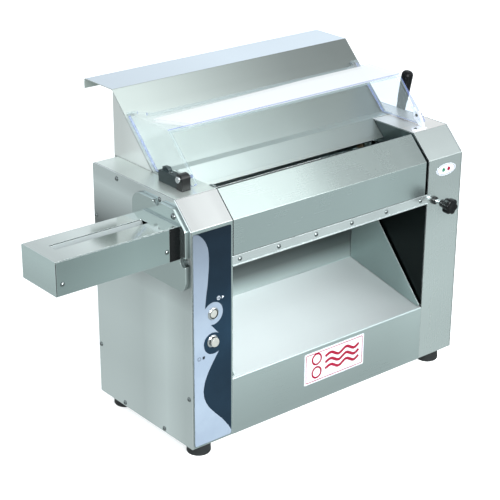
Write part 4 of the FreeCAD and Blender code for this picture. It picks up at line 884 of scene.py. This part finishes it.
# Oval badge at the upper right: an outline with a green and a crimson dot
OVAL_X, OVAL_Z, OVAL_FACE_Y = 572.7, 366.0, -0.4
DOT_OFFSET, DOT_RADIUS = 6.5, 3.6
OVAL_PRINTS = (
    ("oval_print", (ellipse(OVAL_X, OVAL_Z, 22.6, 9.6), [ellipse(OVAL_X, OVAL_Z, 21.6, 8.7)]),
     "label_grey"),
    ("oval_mark_green", (circle(OVAL_X - DOT_OFFSET, OVAL_Z, DOT_RADIUS, 40), []), "label_green"),
    ("oval_mark_crimson", (circle(OVAL_X + DOT_OFFSET, OVAL_Z, DOT_RADIUS, 40), []),
     "label_crimson"),
)
for name, shape, finish in OVAL_PRINTS:
    print_on(name, [shape], OVAL_FACE_Y, THICK_FILM, finish)

# ---------------------------------------------------------------------------
# Clamp knob head: one six-lobed moulding turned about Y
# ---------------------------------------------------------------------------
KNOB_SEGMENTS = 144
LOBES, LOBE_DEPTH = 6, 2.3
BORE_RADIUS, BORE_DEPTH = 4.02, 6.0


def knob_profile(front, rear, radius):
    """(y, radius) stations from the middle of the front face to the bottom of the rear bore."""
    quarter = [math.radians(15 * i) for i in range(7)]
    profile = [(front + 0.4, 0.0), (front + 0.35, 3.0), (front + 0.25, 5.2), (front, 6.0),
               (front, 8.4)]
    profile += [(front + 3.0 - 3.0 * math.cos(angle), radius - 3.4 + 3.4 * math.sin(angle))
                for angle in quarter]
    profile += [(front + 6.0, radius), (front + 9.5, radius), (front + 12.5, radius - 0.3)]
    profile += [(front + 13.0 + 2.6 * math.sin(angle), radius - 3.0 + 2.6 * math.cos(angle))
                for angle in quarter]
    profile += [(front + 16.0, 9.2), (front + 18.0, 8.2), (front + 22.0, 7.4),
                (rear - 1.2, 7.0), (rear - 0.4, 6.6), (rear, 6.0), (rear, BORE_RADIUS),
                (rear - BORE_DEPTH, BORE_RADIUS), (rear - BORE_DEPTH, 0.0)]
    return profile


def lobed(angle, radius):
    """Hollows between the lobes fade in between radius 8 and 12."""
    share = max(0.0, min(1.0, (radius - 8.0) / 4.0))
    return radius - share * LOBE_DEPTH * (0.5 - 0.5 * math.cos(LOBES * angle)) ** 1.3


def build_knob():
    lo, hi = box_mm("knob_head")
    centre = Vector(((lo.x + hi.x) / 2, 0.0, (lo.z + hi.z) / 2))
    axis = Vector((0, 1, 0))
    across = axis.orthogonal().normalized()
    upright = axis.cross(across)
    bm = bmesh.new()
    rings = []
    for y, radius in knob_profile(lo.y, hi.y, (hi.z - lo.z) / 2):
        middle = centre + axis * y
        if radius == 0.0:
            rings.append([bm.verts.new(from_mm(*middle))] * KNOB_SEGMENTS)
            continue
        angles = [2 * math.pi * k / KNOB_SEGMENTS for k in range(KNOB_SEGMENTS)]
        rings.append([
            bm.verts.new(from_mm(*(middle + (across * math.cos(angle) + upright * math.sin(angle))
                                   * lobed(angle, radius))))
            for angle in angles])
    for near, far in zip(rings, rings[1:]):
        for k in range(KNOB_SEGMENTS):
            following = (k + 1) % KNOB_SEGMENTS
            corners = (near[k], far[k], far[following], near[following])
            # dropping repeats leaves a triangle where a ring is a single point
            bm.faces.new(tuple(dict.fromkeys(corners)))
    knob = add_piece("knob_grip", bm, "plastic_gloss", "clamp_knob",
                     sharp_angle=40)
    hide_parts("knob_head")


build_knob()


# ---------------------------------------------------------------------------
# Studio
# ---------------------------------------------------------------------------
def floor_material():
    """White paper to the camera, an even grey-green glow to every other ray."""
    t = material("studio_floor")
    place = t.new("ShaderNodeNewGeometry").outputs["Position"]
    distance = t.vector_math("LENGTH", t.vector_math("MULTIPLY", place, (1, 1, 0)))
    tone = t.ramp(t.remap(distance, source=(0.0, 3.0)), [
        (0.0, (0.60, 0.65, 0.65, 1)), (0.15, (0.60, 0.655, 0.65, 1)),
        (0.35, (0.57, 0.62, 0.62, 1)), (0.6, (0.54, 0.59, 0.59, 1)),
        (1.0, (0.52, 0.57, 0.57, 1))])
    surroundings = t.shader("ShaderNodeEmission", Color=tone, Strength=1.0)
    mottle = t.noise(scale=3.0, detail=3.0, roughness=0.5)
    pale = t.mix(t.remap(mottle, source=(0.3, 0.7)), (0.86, 0.87, 0.87, 1), (0.90, 0.90, 0.90, 1))
    paper = t.shader("ShaderNodeBsdfDiffuse", Color=pale, Roughness=0.6)
    glow = t.shader("ShaderNodeEmission", Color=(1, 1, 1, 1), Strength=0.62)
    seen = t.new("ShaderNodeAddShader", {0: paper, 1: glow}).outputs[0]
    rays = t.new("ShaderNodeLightPath").outputs
    t.out(t.mix_shader(rays["Is Camera Ray"], surroundings, seen))


def build_floor(half=12.0):
    floor_material()
    mesh = bpy.data.meshes.new("studio_floor_sheet")
    corners = [(-half, -half, 0), (half, -half, 0), (half, half, 0), (-half, half, 0)]
    mesh.from_pydata(corners, [], [(0, 1, 2, 3)])
    mesh.materials.append(MATERIALS["studio_floor"])
    floor = bpy.data.objects.new("studio_floor_sheet", mesh)
    floor.location = (0, 0, CAD_LO.z)
    bpy.context.scene.collection.objects.link(floor)


def build_world():
    """White to the camera; other rays see a grey sky with a bright band above the horizon."""
    world = bpy.data.worlds.new("studio")
    bpy.context.scene.world = world
    t = Tree(world)
    coords = t.new("ShaderNodeTexCoord").outputs["Generated"]
    direction = t.new("ShaderNodeSeparateXYZ", {0: t.vector_math("NORMALIZE", coords)})
    sky = t.ramp(t.remap(direction.outputs[2], source=(-0.2, 1.0)), [
        (0.0, (0.34, 0.37, 0.37, 1)), (0.16, (0.37, 0.40, 0.41, 1)),
        (0.32, (0.54, 0.58, 0.62, 1)), (0.46, (0.88, 0.94, 0.99, 1)),
        (0.54, (0.88, 0.94, 0.99, 1)), (0.66, (0.56, 0.59, 0.62, 1)),
        (1.0, (0.46, 0.49, 0.50, 1))])
    rays = t.new("ShaderNodeLightPath").outputs
    lighting = t.shader("ShaderNodeBackground", Color=sky, Strength=1.2)
    backdrop = t.shader("ShaderNodeBackground", Color=(1, 1, 1, 1), Strength=1.0)
    t.out(t.mix_shader(rays["Is Camera Ray"], lighting, backdrop), "ShaderNodeOutputWorld")


def softbox(name, place, target, size, watts, colour):
    """Rectangular area light; place and target in metres from the studio centre."""
    light = bpy.data.lights.new(name, "AREA")
    light.shape = "RECTANGLE"
    light.size, light.size_y = size
    light.energy = watts
    light.color = colour
    obj = bpy.data.objects.new(name, light)
    obj.location = studio(*place)
    aim = Vector(studio(*target)) - Vector(studio(*place))
    obj.rotation_mode = "QUATERNION"
    obj.rotation_quaternion = aim.to_track_quat("-Z", "Y")
    bpy.context.scene.collection.objects.link(obj)


def build_camera():
    data = bpy.data.cameras.new("camera")
    data.sensor_width = 36.0
    data.lens = 105.66
    data.clip_start, data.clip_end = 0.05, 60.0
    camera = bpy.data.objects.new("camera", data)
    bpy.context.scene.collection.objects.link(camera)
    eye = studio(-1.574255, -1.820137, 1.284508)
    right = Vector((0.7732, -0.6341, 0.0049)).normalized()
    forward = Vector((0.5848, 0.7102, -0.3920)).normalized()
    up = right.cross(forward).normalized()
    right = forward.cross(up).normalized()
    rows = [(right[i], up[i], -forward[i], eye[i]) for i in range(3)]
    camera.matrix_world = Matrix(rows + [(0, 0, 0, 1)])
    bpy.context.scene.camera = camera


build_floor()
build_world()
softbox("key_front_top", place=(0.45, -0.90, 2.10), target=(0.0, -0.05, 0.25),
        size=(1.3, 1.3), watts=6, colour=(0.97, 1.0, 1.0))
softbox("fill_front", place=(1.2, -1.9, 1.5), target=(0.0, 0.0, 0.15),
        size=(1.2, 1.2), watts=14, colour=(0.98, 1.0, 1.0))
softbox("outfeed_low", place=(-0.55, -1.25, 0.85), target=(-0.02, 0.02, 0.12),
        size=(0.55, 0.5), watts=26, colour=(0.98, 1.0, 1.0))
softbox("fill_left", place=(-2.6, 0.3, 1.3), target=(0, 0, 0.3),
        size=(1.4, 1.4), watts=7, colour=(0.97, 1.0, 1.0))
build_camera()

view = bpy.context.scene.view_settings
view.view_transform = "Standard"
view.look = "None"
view.exposure = 0.0
view.gamma = 1.0
